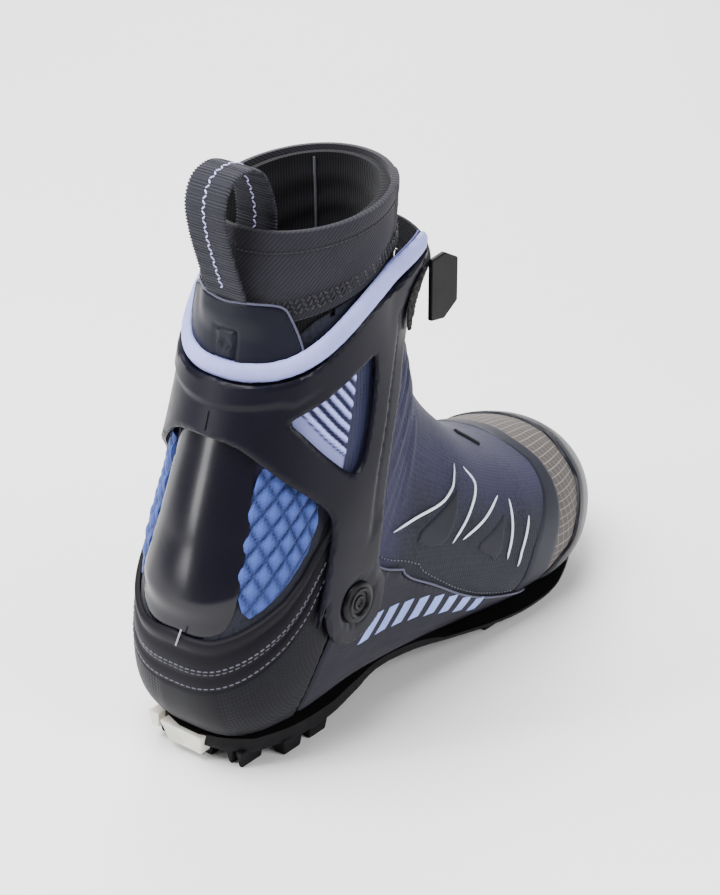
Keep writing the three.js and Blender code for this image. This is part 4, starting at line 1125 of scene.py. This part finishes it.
class BOOT_OT_side_panels(bpy.types.Operator):
    """Makes both fused side panels with their raised seam and slanted bars"""
    bl_idname = "boot.side_panels"
    bl_label = "Side panels"

    def execute(self, context):
        sizes, colours = settings()
        film = paint("fused_film_navy", thermoplastic_film, tuple(colours.panel))
        for side, turn in SIDES:
            outline = turn(PANEL_HIGH + PANEL_LOW)
            phi, t, away, faces = cut_grid(outline, cell=sizes.cell)
            crease = turn([(120.5, 0.635), (112.5, 0.584), (117.5, 0.501), (127, 0.434),
                           (135.5, 0.372)])
            far = line_distance(phi, t, crease)[0]
            step = 0.22 * smooth(1 - far / 1.6)
            make(f"side_film_{side}", shell_of((phi, t, away, faces), PANEL_IN - 0.2,
                 PANEL_OUT - step, 0.7), film, "boot", (f"side_panel_{side}",))
            bead, out = on_surface(turn(PANEL_HIGH[1:]), PANEL_OUT - 0.35, 1.2)
            make(f"side_piping_{side}", sweep(bead, out, oval(0.55, 0.5, 8)), cut_edge(), "boot")
        ink = paint("screen_print_blue", thermoplastic_film, linear("#8493cf"), roughness=0.45)
        bars = []
        for k in range(8):
            rear = 0.532 - 0.0205 * k
            low_edge = 107.5 + 1.9 * k - 3.5 * math.sin(math.pi * k / 7)
            bars.append([(low_edge, rear + 0.006), (low_edge, rear - 0.006),
                         (low_edge - 10, rear - 0.012), (low_edge - 10, rear)])
        parts = [shell_of(cut_grid(bar, cell=0.8, soft=0), PANEL_OUT - 0.3, PANEL_OUT + 0.2, 0.1)
                 for bar in bars]
        make("side_print_bars", parts, ink, "boot")
        return {'FINISHED'}


class BOOT_OT_heel(bpy.types.Operator):
    """Makes the heel counter, its padded collar and the stitching"""
    bl_idname = "boot.heel"
    bl_label = "Heel counter and collar"

    def execute(self, context):
        sizes = settings()[0]
        weave = paint("pressed_weave_navy", pressed_weave, linear("#0a0a11"))
        top = COUNTER_TOP[:-1]
        low = [(149, 0.55), (152, 0.556), (165, 0.568), (180, 0.572)]
        outline = (COUNTER_FRONT + top + across_back(top) + across_back(COUNTER_FRONT)
                   + across_back(low[:-1])[::-1] + low[::-1])
        phi, t, away, faces = cut_grid(outline, cell=sizes.cell)
        spine = smooth((13 - np.abs(phi - 173)) / 1.2)
        lift = 0.35 * spine
        make("heel_cup", shell_of((phi, t, away, faces), COVER_IN + 0.4, PANEL_OUT + 0.15 + lift,
             0.8), weave, "boot", ("heel_counter",),
             {"plain": np.tile(np.maximum(spine, smooth(1 - away / 2.5)), 2)})
        fabric = paint("microfibre_black", microfibre, linear("#0c0b12"), roughness=0.6)
        angles = through_back(101, 1.3, 0.67)
        phi, t, away, faces = strip_grid(edge(COLLAR_LOW), edge(COLLAR_TOP), angles, 26)
        rows = len(t) // len(angles)
        k = np.repeat(np.linspace(0, 1, rows), len(angles))
        ridge = 1.3 * np.abs(np.sin(k * np.pi * 3)) ** 0.7 + 0.6 * smooth((k - 0.6) / 0.3)
        lip = 2.0 * smooth((k - 0.45) / 0.2)
        collar = make("padded_collar", shell_of((phi, t, away, faces), PANEL_IN - 1.2 + lip,
                      PANEL_IN + 0.6 + ridge, 0.9), fabric, "boot",
                      ("counter_collar",))
        low, high = edge(COLLAR_LOW), edge(COLLAR_TOP)
        parts = []
        for level, lift in ((0.10, 1.85), (0.43, 1.85), (0.36, 1.3)):
            path = [(p, float(low(p) + (high(p) - low(p)) * level)) for p in np.linspace(104, 256, 40)]
            points, out = on_surface(path, PANEL_IN + lift)
            parts.append(stitches(points, out, sizes.stitch, 0.9, 0.36))
        make("collar_stitches", parts, dark_thread(), "boot")
        tack, out = on_surface([(177.6, 0.6795), (175, 0.691)], PANEL_IN + 2.5, 0.5)
        make("collar_bartack", sweep(tack, out, oval(0.45, 0.4, 8)),
             paint("sewing_thread_grey", sewing_thread, linear("#8a8894")), "boot")
        pad = [(97, 0.63), (103, 0.63), (109, 0.65), (109, 0.69), (106, 0.708), (98, 0.706)]
        for side, turn in SIDES:
            grid = cut_grid(turn(pad), cell=1.3)
            piece = make(f"ankle_foam_{side}", shell_of(grid, COVER_OUT - 0.2,
                         COVER_OUT + 0.5 + 1.2 * smooth(grid[2] / 7), 0.8), black_foam(),
                         "boot")
        return {'FINISHED'}


# y, inner edge x, outer edge x, tread face z, top edge z
SOLE = np.array([
    [-4, -12, 12, 9, 17], [0, -23, 23, 7.5, 17], [9, -33, 33, 6, 16.5], [30, -38.5, 38.5, 5.5, 16],
    [55, -39, 39, 5.5, 16], [72, -37, 37.5, 7.5, 17.5], [92, -35.5, 37, 12, 20],
    [115, -37, 40.5, 12.5, 20], [140, -42, 46, 10, 17], [165, -48, 50.5, 7, 14.5],
    [190, -53, 53.5, 5.5, 13.5], [215, -56.5, 52, 5.5, 14], [240, -55.5, 42.5, 6.5, 17],
    [258, -48.5, 29.5, 8.5, 20], [271, -38, 14, 10.5, 23], [280, -25, -1, 12.5, 25],
    [284.5, -17, -9, 14, 26]])


def sole_at(y):
    """The sole's row at y, along a smooth curve through the table."""
    return spline(SOLE, np.interp(y, SOLE[:, 0], np.arange(len(SOLE))))


def sole_loft(ys):
    """Sections of the sole, each a box with rounded lower corners, carried along its length."""
    row = sole_at(ys)
    tuck = np.interp(ys, [-4, 20, 80, 130, 200, 284.5], [6.5, 6, 5, 6, 6.5, 5.5])
    middle = (row[:, 1] + row[:, 2]) / 2
    half = np.maximum((row[:, 2] - row[:, 1]) / 2 - tuck, 2.0)
    inner, outer = middle - half, middle + half
    face = row[:, 3]
    ys = np.interp(ys, [-4, 140, 284.5], [3.5, 140, 281])
    lower = 2.5 + 3.0 * smooth((ys - 120) / 30)
    upper = row[:, 4] - lower
    turn = np.linspace(0, np.pi / 2, 5)
    round_off = 3.0
    rings = []
    for cx, sign, angles in ((outer, 1, turn), (inner, -1, turn[::-1])):
        for a in angles:
            x = cx - sign * round_off * (1 - math.cos(a))
            rings.append(np.stack([x, ys, face + round_off * (1 - math.sin(a))], axis=1))
    rings.append(np.stack([inner, ys, upper], axis=1))
    rings.insert(0, np.stack([outer, ys, upper], axis=1))
    points = np.stack(rings, axis=1)
    sides = points.shape[1]
    flat = points.reshape(-1, 3)
    flat = np.vstack([flat, points[0].mean(axis=0), points[-1].mean(axis=0)])
    faces = tube_faces(len(ys), sides)
    return flat, facing_out(flat, faces), flat[:, :2]


class BOOT_OT_sole(bpy.types.Operator):
    """Makes the outsole with its lugs, and the hard heel insert"""
    bl_idname = "boot.sole"
    bl_label = "Sole"

    def execute(self, context):
        colours = settings()[1]
        rubber = paint("vulcanised_rubber_black", vulcanised_rubber, tuple(colours.rubber))
        make("rubber_outsole", sole_loft(np.linspace(-4, 284.5, 190)), rubber, "boot",
             ("outsole",))
        lugs = []
        for y0, y1 in ((10, 25), (29, 42), (46, 59), (168, 181), (185, 199), (203, 217), (221, 235)):
            row = sole_at(np.array([(y0 + y1) / 2]))[0]
            inset = 11 if y0 < 20 else 6.5 if y0 < 100 else 14
            for x0, x1 in ((15, row[2] - inset), (row[1] + inset, -15)):
                third = (x1 - x0) / 2
                lugs += [(x0, x0 + third - 0.8, y0, y1, 0, 8.1, 1.1),
                         (x0 + third + 0.8, x1, y0, y1, 0, 8.1, 1.1)]
        lugs += [(-8, 8, 9, 59, 0, 8.1, 1.2), (-8, 8, 168, 238, 0.6, 8.1, 1.2)]
        bevelled(make("sole_lugs", blocks(lugs), rubber, "boot"), 0.7)
        cream = paint("hard_polyurethane_cream", hard_polyurethane, tuple(colours.insert))
        plate = blocks([(-15, 9, 1.2, 14, 3.6, 14.0, 2.6), (-25, -19, 4.5, 14, 6.0, 13.5, 1.0)])
        bevelled(make("heel_insert_plate", plate, cream, "boot",
                      ("heel_insert",)), 0.5)
        return {'FINISHED'}


class BOOT_OT_carried(bpy.types.Operator):
    """Paints the parts that keep their designed shape"""
    bl_idname = "boot.carried"
    bl_label = "Toe block, pins and slider"

    def execute(self, context):
        steel = paint("drawn_steel", drawn_steel, linear("#b9bbc0"))
        paint_nodes(steel, "toe_bar", "pivot_stud_lateral", "pivot_stud_medial")
        paint_nodes(black_nylon(), "toe_block", "sole_plate")
        zinc = paint("black_zinc", drawn_steel, linear("#3b3c42"))
        paint_nodes(zinc, "zip_slider")
        return {'FINISHED'}


def pivot_circle(radius, start, stop, count=14, d=SHELL_OUT):
    """The (phi, t) of points round the ankle pivot on the cuff, by search over a fine grid."""
    a = np.radians(np.linspace(start, stop, count))
    want = PIVOT + radius * np.stack([np.cos(a), np.sin(a)], axis=1)
    t, phi = (v.ravel() for v in np.meshgrid(np.linspace(0.5, 0.72, 260), np.linspace(66, 140, 400),
                                             indexing='ij'))
    here = skin(t, phi, np.full(t.shape, float(d)))[:, 1:]
    near = [int(((here - w) ** 2).sum(axis=1).argmin()) for w in want]
    return [(float(phi[i]), float(t[i])) for i in near]


class BOOT_OT_cuff(bpy.types.Operator):
    """Makes the moulded cuff with its windows, shoulder line and arms"""
    bl_idname = "boot.cuff"
    bl_label = "Cuff"

    def execute(self, context):
        sizes = settings()[0]
        head = pivot_circle(19.5, 40, -205)
        half = CUFF_FRONT + head + CUFF_REAR
        outline = half + across_back(half) + across_back(CUFF_TOP)[::-1] + CUFF_TOP[::-1]
        windows = [WINDOW, across_back(WINDOW)[::-1]]
        phi, t, away, faces = cut_grid(outline, windows, cell=sizes.cell * 0.95)
        p = fold(phi)
        level = np.interp(p, [112, 133, 141, 158.5, 180], [0.862, 0.853, 0.857, 0.858, 0.858])
        above = (t - level) * 500
        raised = smooth((above + 1.2) / 2.4) * smooth((p - 116) / 20)
        groove = -0.4 * smooth(1 - np.abs(above) / 1.5) * smooth((p - 134) / 6)
        line = np.interp(t, [0.635, 0.671, 0.714, 0.763, 0.811, 0.84], [90, 87.5, 83.5, 79.5, 73, 69])
        ahead = (line - p) * 0.66
        held = smooth((0.87 - t) / 0.02) * smooth((t - 0.635) / 0.02)
        step = -(0.55 * smooth((ahead + 0.5) / 1.0) + 0.5 * smooth(1 - np.abs(ahead) / 0.9)) * held
        at = skin(t, phi, np.full(t.shape, SHELL_OUT))
        pivot_far = np.linalg.norm(at[:, 1:] - PIVOT, axis=1)
        near_pivot = np.where(np.abs(at[:, 0]) > 30, pivot_far, 99)
        recess = -1.1 * smooth((11.2 - near_pivot) / 0.9)
        outer = SHELL_OUT - 0.4 + flare(t, phi) + raised + groove + step + recess
        inner = SHELL_IN + flare(t, phi) + np.minimum(recess, 0)
        make("cuff_moulding", shell_of((phi, t, away, faces), inner, outer, 0.9), cuff_plastic(),
             "cuff", ("cuff_shell",))
        marks = []
        for path in ([(179, 0.852), (179, 0.835)], [(179.4, 0.874), (178.7, 0.863)]):
            points, out = on_surface(path, SHELL_OUT - 0.15, 0.6)
            marks.append(sweep(points, out, oval(0.3, 0.35, 8)))
        make("cuff_parting_marks", marks, black_nylon(), "cuff")
        return {'FINISHED'}


class BOOT_OT_pads(bpy.types.Operator):
    """Makes the ribbed pad behind the cuff's windows"""
    bl_idname = "boot.pads"
    bl_label = "Ribbed pad"

    def execute(self, context):
        sizes, colours = settings()
        # 20233e is the painted shade of the grooves between the ribs
        foam = paint("ribbed_foam_lilac", ribbed_foam, tuple(colours.lilac), linear("#20233e"))
        low = edge([(44, 0.86), (62, 0.82), (82, 0.74), (95, 0.722), (108, 0.733), (120, 0.762),
                    (135, 0.785), (150, 0.84), (180, 0.845)])
        high = edge([(p, t - 0.004) for p, t in CUFF_TOP])
        angles = through_back(46, 2.2)
        backing = strip_grid(low, high, angles, 40)
        piece = make("cuff_lining_foam", shell_of(backing, PAD_IN, PAD_OUT + flare(backing[1],
                     backing[0]), 0.8), black_foam(), "cuff", ("cuff_pad",))
        area = [(89.5, 0.712), (97, 0.716), (108, 0.745), (122, 0.785), (137, 0.825), (139, 0.846),
                (120, 0.856), (100, 0.86), (84, 0.858), (84, 0.836), (86, 0.79), (88, 0.75)]
        for side, turn in SIDES:
            phi, t, away, faces = cut_grid(turn(area), cell=0.85)
            p = fold(phi)
            sill = [(94, 0.7245), (97, 0.73), (104, 0.751), (110.5, 0.771), (118.5, 0.794),
                    (128, 0.82), (138, 0.845)]
            far, sign = line_distance(p, t, sill)
            above = far * np.where(sign > 0, 1, -1)
            flank = smooth((above - 4.6) / 1.0)
            wave = 0.5 - 0.5 * np.cos(2 * np.pi * (above - 4.6) / sizes.rib_pitch)
            # rib gives both the height and the colour, so the flank's mid tone and the dark grooves are
            # painted shade
            rib = (1 - flank) * 0.46 + flank * smooth((wave - 0.2) / 0.6)
            lead = np.interp(t, [0.73, 0.77, 0.80, 0.84], [101, 100, 98.5, 96.5])
            rib = rib * smooth((p - lead) / 2.5)
            outer = PAD_OUT + RIB_HIGH * rib
            piece = make(f"window_ribs_{side}", shell_of((phi, t, away, faces), 6.8, outer, 0.8),
                         foam, "cuff", attributes={"rib": np.tile(rib, 2)})
        return {'FINISHED'}


class BOOT_OT_rim(bpy.types.Operator):
    """Makes the padded rim along the cuff's top edge"""
    bl_idname = "boot.rim"
    bl_label = "Padded rim"

    def execute(self, context):
        colours = settings()[1]
        fabric = paint("microfibre_lilac", microfibre, tuple(colours.lilac), roughness=0.42)
        top = edge(CUFF_TOP)
        angles = through_back(41.5, 1.3, 0.9)
        keys = np.array([(p, float(top(p))) for p in angles])
        t, phi = keys[:, 1], keys[:, 0]
        for _ in range(60):
            t = np.concatenate([t[:1], (t[:-2] + 2 * t[1:-1] + t[2:]) / 4, t[-1:]])
        at, up, out = frame_at(t, phi)
        high = (9.6 + (8 - 9.6) * smooth((fold(phi) - 60) / 90)) / 2
        middle = at + out * (9.6 + flare(t, phi))[:, None] + up * (high + 0.9)[:, None]
        ends = np.sqrt(np.clip(1 - (np.abs(np.linspace(-1, 1, len(t))) ** 30), 0.03, 1))
        a = np.linspace(0, 2 * np.pi, 18, endpoint=False)
        tall = (high * ends)[:, None] * np.cos(a) * (1 + 0.08 * np.cos(2 * a))
        thick = 3.0 * ends[:, None] * np.sin(a)
        bead = make("padded_rim", sweep(middle, out, np.stack([tall, thick], axis=2)), fabric,
                    "cuff", ("cuff_rim",))
        puffed(bead, voxel=0.0016, cap=0.0004)
        # a dark violet cord along the crest: the seam, darkened as painted shade of the seam's groove
        crest = middle + up * (high * 0.86)[:, None] - out * 1.7
        seam = paint("sewing_thread_violet", sewing_thread, linear("#6468a4"))
        make("rim_seam", sweep(crest[3:-3], out[3:-3], oval(0.35, 0.35, 8)), seam, "cuff")
        return {'FINISHED'}


def under_collar(t):
    """1 low down, where a piece has to dip in to pass under the collar, 0 above."""
    return smooth((0.708 - t) / 0.014)


class BOOT_OT_ankle_back(bpy.types.Operator):
    """Makes the glossy shield and the quilted mesh beside it"""
    bl_idname = "boot.ankle_back"
    bl_label = "Shield and quilts"

    def execute(self, context):
        sizes, colours = settings()
        gloss = paint("polished_shield_navy", polished_shield, linear("#0b0a14"))
        shield = [(148, 0.69), (163, 0.684), (180, 0.686), (197, 0.684), (212, 0.69), (209, 0.74),
                  (207, 0.80), (205, 0.848), (180, 0.852), (155, 0.848), (149, 0.80), (146, 0.74)]
        phi, t, away, faces = cut_grid(shield, cell=1.6)
        dip = under_collar(t)
        swell = 0.6 * smooth(away / 9) * (1 - dip) - 1.55 * dip
        make("back_shield", shell_of((phi, t, away, faces), PANEL_IN - 0.3 * dip, PANEL_OUT + swell,
             0.4), gloss, "cuff", ("achilles_shield",))
        mesh = paint("quilted_mesh_blue", quilted_mesh, tuple(colours.quilt))
        area = [(111, 0.705), (118, 0.694), (128, 0.688), (149, 0.688), (149, 0.80), (138, 0.80),
                (122, 0.772), (111, 0.742)]
        for side, turn in SIDES:
            phi, t, away, faces = cut_grid(turn(area), cell=1.0)
            angle = np.linspace(100, 160, 121)
            u = np.interp(fold(phi), angle, lengths(place(np.full(121, 0.74), angle)))
            v = place(t, fold(phi))[:, 2]
            a = np.pi * (u + v * 0.8) / sizes.quilt_pitch
            b = np.pi * (u - v * 0.8) / sizes.quilt_pitch
            crown = np.minimum(np.abs(np.sin(a)), np.abs(np.sin(b))) ** 0.85
            # crown goes to the rib attribute too, where it paints shade into the valleys between the
            # diamonds
            piece = make(f"quilted_pad_{side}", shell_of((phi, t, away, faces), PANEL_IN - 0.2,
                         PANEL_IN + 0.1 + 2.0 * crown * (1 - 0.9 * under_collar(t)),
                         0.3), mesh, "cuff",
                         (f"quilt_{side}",), {"rib": np.tile(crown, 2)})
        return {'FINISHED'}


class BOOT_OT_band(bpy.types.Operator):
    """Makes the gaiter's twill band with its hem and zigzag stitching"""
    bl_idname = "boot.band"
    bl_label = "Gaiter band"

    def execute(self, context):
        colours = settings()[1]
        twill = paint("twill_band_charcoal", twill_band, tuple(colours.band))
        around = np.linspace(-180, 180, 221)[:-1]
        low = lambda p: 0.925 - 0.01 * smooth((90 - fold(p)) / 60)
        phi, t, away, faces = strip_grid(low, flat_seam(1.0), around, 46, wrap=True)
        hem = 0.35 * smooth((t - 0.985) / 0.004)
        lap = 0.7 * smooth((phi - 34) / 3) * smooth((62 - phi) / 3)
        sag = 0.5 * np.sin(np.radians(phi) * 5 + t * 60) * smooth((0.99 - t) / 0.05)
        make("gaiter_top_band", shell_of((phi, t, away, faces), COVER_IN - 0.2,
             COVER_OUT + 0.7 + hem + lap + sag, 0.8), twill, "cuff",
             ("gaiter_band",))
        parts = []
        dark = paint("sewing_thread_black", sewing_thread, linear("#1b1b20"))
        for level in (0.934, 0.9385, 0.943):
            path = [(p, level) for p in np.linspace(-178, 178, 60)]
            points, out = on_surface(path, COVER_OUT + 1.1)
            parts.append(stitches(points, out, 2.0, 0.5, 0.45, slant=0.9))
        make("band_zigzag", parts, dark, "cuff")
        path = [(p, 0.9835) for p in np.linspace(-179, 179, 60)]
        points, out = on_surface(path, COVER_OUT + 0.95)
        make("hem_stitches", [stitches(points, out, 1.4, 0.7, 0.3)], dark, "cuff")
        rows = []
        for turn in (37.0, 39.5):
            points, out = on_surface([(turn, 0.952), (turn + 0.5, 0.975), (turn, 0.997)],
                                     COVER_OUT + 1.55, 0.5)
            rows.append(stitches(points, out, 1.3, 0.3, 0.5, slant=0.9))
        make("zip_free_edge", rows, paint("raw_zip_tape", sewing_thread, linear("#b9b8b4")), "cuff")
        return {'FINISHED'}


def loop_room(t, phi):
    """How far the back tab stands off where the pull loop runs beneath it."""
    return 1.9 * smooth((t - 0.912) / 0.022) * smooth((30 - np.abs(phi - 180)) / 14)


class BOOT_OT_rear_tab(bpy.types.Operator):
    """Makes the moulded back tab with its piped edge and plain badge"""
    bl_idname = "boot.rear_tab"
    bl_label = "Back tab"

    def execute(self, context):
        half = [(180, 0.944), (165, 0.945), (152, 0.943), (144.5, 0.939), (140, 0.929),
                (134, 0.91), (129, 0.888), (150, 0.872), (165, 0.869)]
        outline = half + [(180, 0.869)] + across_back(half[1:])
        phi, t, away, faces = cut_grid(outline, cell=1.0)
        room = loop_room(t, phi)
        at = skin(t, phi, np.full(t.shape, 8.0))
        u = at[:, 0] - 1.0
        v = at[:, 2] - 187.5
        box = np.maximum(np.abs(u), np.abs(v) / 1.18)
        badge = -0.8 * smooth((6.2 - box) / 0.5) + 1.0 * smooth((5.0 - box) / 0.5)
        diamond = -0.8 * smooth((3.2 - (np.abs(u) + np.abs(v))) / 0.5)
        outer = 8.7 + room + badge + diamond
        make("back_tab_moulding", shell_of((phi, t, away, faces), 7.0 + room, outer, 0.6),
             paint("moulded_tab", moulded_nylon, linear("#10111c"), roughness=0.4), "cuff",
             ("rear_tab",))
        line = half[:-2]
        points, out = on_surface(across_back(line[1:]) + line,
                                 lambda t, phi: 8.55 + loop_room(t, phi), 1.0)
        make("back_tab_piping", sweep(points, out, oval(0.5, 0.5, 8)), cut_edge(), "cuff")
        return {'FINISHED'}


class BOOT_OT_pull_loop(bpy.types.Operator):
    """Makes the ribbed webbing pull loop and its zigzag thread"""
    bl_idname = "boot.pull_loop"
    bl_label = "Pull loop"

    def execute(self, context):
        webbing = paint("woven_webbing_grey", woven_webbing, linear("#25252c"))
        line = np.array([[35.6, 204.5], [33.6, 211.5], [29.5, 223], [25.2, 237], [23.6, 250],
                         [28, 259.5], [37.5, 262.6], [46.6, 259.3], [51.8, 250], [54, 241],
                         [54, 233], [51.6, 225.5]])
        curve = spline(line, np.linspace(0, len(line) - 1, 700))
        along = lengths(curve)
        stops = np.linspace(0, along[-1], 520)
        y, z = (np.interp(stops, along, curve[:, n]) for n in (0, 1))
        points = np.stack([np.zeros_like(y), y, z], axis=1)
        ahead = unit(np.gradient(points, axis=0))
        normal = np.stack([np.zeros_like(y), ahead[:, 2], -ahead[:, 1]], axis=1)
        rib = np.sin(2 * np.pi * stops / 1.5)
        half_width = 10.6
        wide = half_width + 0.35 * rib
        thick = 0.85 + 0.16 * rib
        side = np.linspace(-1, 1, 15)
        lower, upper = [], []
        for s in side:
            pinch = (1 - abs(s) ** 8 * 0.5)
            lower.append(np.stack([s * wide, -thick * pinch], axis=1))
            upper.append(np.stack([s * wide, thick * pinch], axis=1))
        profile = np.stack(upper + lower[::-1], axis=1)
        ribbon = sweep(points, normal, profile)
        across = np.concatenate([side, side[::-1]]) * half_width
        uv = ribbon[2].copy()
        uv[:len(points) * len(across), 0] = np.tile(across, len(points))
        make("webbing_pull_loop", (ribbon[0], ribbon[1], uv), webbing, "cuff",
             ("pull_loop",), crease=60)
        rows = []
        for face in (1, -1):
            path = points + normal * face * 1.05
            rows.append(stitches(path[30:-20], normal[30:-20] * face, 2.1, 0.05, 0.42, slant=0.75))
        make("pull_loop_zigzag", rows, lilac_thread(), "cuff")
        return {'FINISHED'}


class BOOT_OT_pivots(bpy.types.Operator):
    """Makes both turned ankle caps: a lathe profile about the pivot's axis"""
    bl_idname = "boot.pivots"
    bl_label = "Ankle pivots"

    def execute(self, context):
        nylon = paint("moulded_nylon_cap", moulded_nylon, linear("#0b0b0e"), roughness=0.32)
        outline = np.array([[0, 0.7], [1.4, 0.7], [1.7, 1.2], [2.4, 1.5], [3.2, 1.5], [3.6, 0.9],
                            [5.0, 0.9], [5.4, 1.9], [6.1, 2.2], [6.9, 2.1], [7.3, 1.4],
                            [8.7, 1.3], [9.4, 0.7], [9.6, -0.6], [0, -0.6]])
        sides = 72
        turn = np.linspace(0, 2 * np.pi, sides, endpoint=False)
        for side, sign in (("lateral", 1), ("medial", -1)):
            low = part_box(f"pivot_cap_{side}")[0 if sign > 0 else 1][0] * 1000
            ring = np.stack([np.full((len(outline), sides), low) + sign * outline[:, 1:],
                             PIVOT[0] + outline[:, :1] * np.cos(turn),
                             PIVOT[1] + outline[:, :1] * np.sin(turn)], axis=2)
            points = ring.reshape(-1, 3)
            faces = grid_faces(len(outline), sides, wrap=True)
            make(f"turned_cap_{side}", (points, facing_out(points, faces), points[:, 1:]), nylon,
                 "boot", (f"pivot_cap_{side}",), crease=50)
        return {'FINISHED'}


class BOOT_OT_strap(bpy.types.Operator):
    """Makes the cuff strap, its loop pile and the free tab"""
    bl_idname = "boot.strap"
    bl_label = "Cuff strap"

    def execute(self, context):
        webbing = paint("woven_webbing_black", woven_webbing, linear("#1c1c20"), pitch=1.6)
        angles = angles_at(0.87, -66, 46, 1.6)
        strap = strip_grid(flat_seam(0.835), flat_seam(0.885),
                           angles, 18)
        base = SHELL_OUT + flare(strap[1], strap[0])
        make("webbing_strap", shell_of(strap, base + 0.5, base + 2.2, 0.6), webbing, "cuff",
             ("cuff_strap",))
        pile = paint("loop_pile_black", loop_pile, linear("#1d1c1b"))
        patch = cut_grid([(46, 0.832), (53, 0.818), (60, 0.803), (62.5, 0.83), (62, 0.872),
                          (55, 0.888), (48, 0.888)], cell=0.8)
        base = SHELL_OUT + flare(patch[1], patch[0])
        chaos = np.random.default_rng(7).uniform(0, 1.1, len(patch[0]))
        make("loop_pile_patch", shell_of(patch, base + 0.1, base + 0.7 + chaos, 0.3), pile, "cuff",
             ("strap_pile_patch",), crease=20)
        low, high = (np.array(v) * 1000 + (0, ORIGIN_Y, 0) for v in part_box("strap_tab"))
        x0, x1 = low[0], high[0]
        y0, y1, z0, z1 = low[1], high[1] + 3.5, low[2] - 8, high[2] - 9
        outline = np.array([[y0, z0 + 1.5], [y0 + 9, z0], [y1, z0 + 5.5], [y1, z1 - 5],
                            [y0 + 9, z1], [y0, z1 - 1]])
        count = len(outline)
        points = np.array([[x, y, z] for x in (x0, x1) for y, z in outline]
                          + [[x, outline[:, 0].mean(), outline[:, 1].mean()] for x in (x0, x1)])
        faces = tube_faces(2, count)
        tab = make("moulded_strap_tab", (points, facing_out(points, faces), points[:, 1:]),
                   paint("moulded_tab_black", moulded_nylon, linear("#0c0c0e"), roughness=0.5),
                   "strap_end", ("strap_tab",), crease=25)
        bevelled(tab, 0.6, 3)
        return {'FINISHED'}


class BOOT_OT_zip(bpy.types.Operator):
    """Makes the closed front zip: tape and two rows of moulded teeth"""
    bl_idname = "boot.zip"
    bl_label = "Zip"

    def execute(self, context):
        tape = paint("woven_tape_black", woven_webbing, linear("#191a1d"), pitch=0.9)
        start, out = on_surface([(17, 0.69), (17, 0.925)], COVER_OUT + 0.1, 1.0)
        low, high = start[0], start[-1]
        along = unit(high - low)
        long = float(np.linalg.norm(high - low)) - 1.0
        out = unit(out[len(out) // 2])
        wide = unit(np.cross(along, out))
        out = np.cross(wide, along)
        line = low + along * np.linspace(0, long, 60)[:, None]
        flat = np.array([[-2.4, 0.05], [2.4, 0.05], [2.4, 0.35], [-2.4, 0.35]])
        make("zip_tape", sweep(line, np.broadcast_to(out, line.shape), flat), tape, "cuff",
             ("zip_chain",))
        boxes = []
        pitch = 2.0
        for k in range(int(long / pitch) - 1):
            side = -1.4 if k % 2 else 0.0
            boxes.append((side, side + 1.4, k * pitch + 0.5, k * pitch + 1.9, 0.35, 1.1, 0.0))
        points, faces, uv = blocks(boxes)
        placed = (low + points[:, :1] * wide + points[:, 1:2] * along + points[:, 2:] * out)
        make("zip_teeth", (placed, facing_out(placed, faces), uv), black_nylon(), "cuff")
        return {'FINISHED'}


OPERATORS = (BOOT_OT_stage, BOOT_OT_lining, BOOT_OT_cover, BOOT_OT_vamp_trim, BOOT_OT_toe,
             BOOT_OT_side_panels, BOOT_OT_heel, BOOT_OT_sole, BOOT_OT_carried, BOOT_OT_cuff,
             BOOT_OT_pads, BOOT_OT_rim, BOOT_OT_ankle_back, BOOT_OT_band, BOOT_OT_rear_tab,
             BOOT_OT_pull_loop, BOOT_OT_pivots, BOOT_OT_strap, BOOT_OT_zip)


class BOOT_PT_panel(bpy.types.Panel):
    """Lists the boot's pieces"""
    bl_idname = "BOOT_PT_panel"
    bl_label = "Skate boot"
    bl_space_type = 'VIEW_3D'
    bl_region_type = 'UI'
    bl_category = "Boot"

    def draw(self, context):
        for group in (context.scene.boot_sizes, context.scene.boot_colours):
            for name in group.bl_rna.properties.keys():
                if name not in {"rna_type", "name"}:
                    self.layout.prop(group, name)
        for operator in OPERATORS:
            self.layout.operator(operator.bl_idname)


CLASSES = (BootColours, BootSizes, *OPERATORS, BOOT_PT_panel)


def register():
    for item in CLASSES:
        bpy.utils.register_class(item)
    bpy.types.Scene.boot_colours = bpy.props.PointerProperty(type=BootColours)
    bpy.types.Scene.boot_sizes = bpy.props.PointerProperty(type=BootSizes)


def unregister():
    del bpy.types.Scene.boot_sizes
    del bpy.types.Scene.boot_colours
    for item in reversed(CLASSES):
        bpy.utils.unregister_class(item)


def main():
    register()
    for operator in OPERATORS:
        group, name = operator.bl_idname.split(".")
        getattr(getattr(bpy.ops, group), name)()


if __name__ == "__main__":
    main()
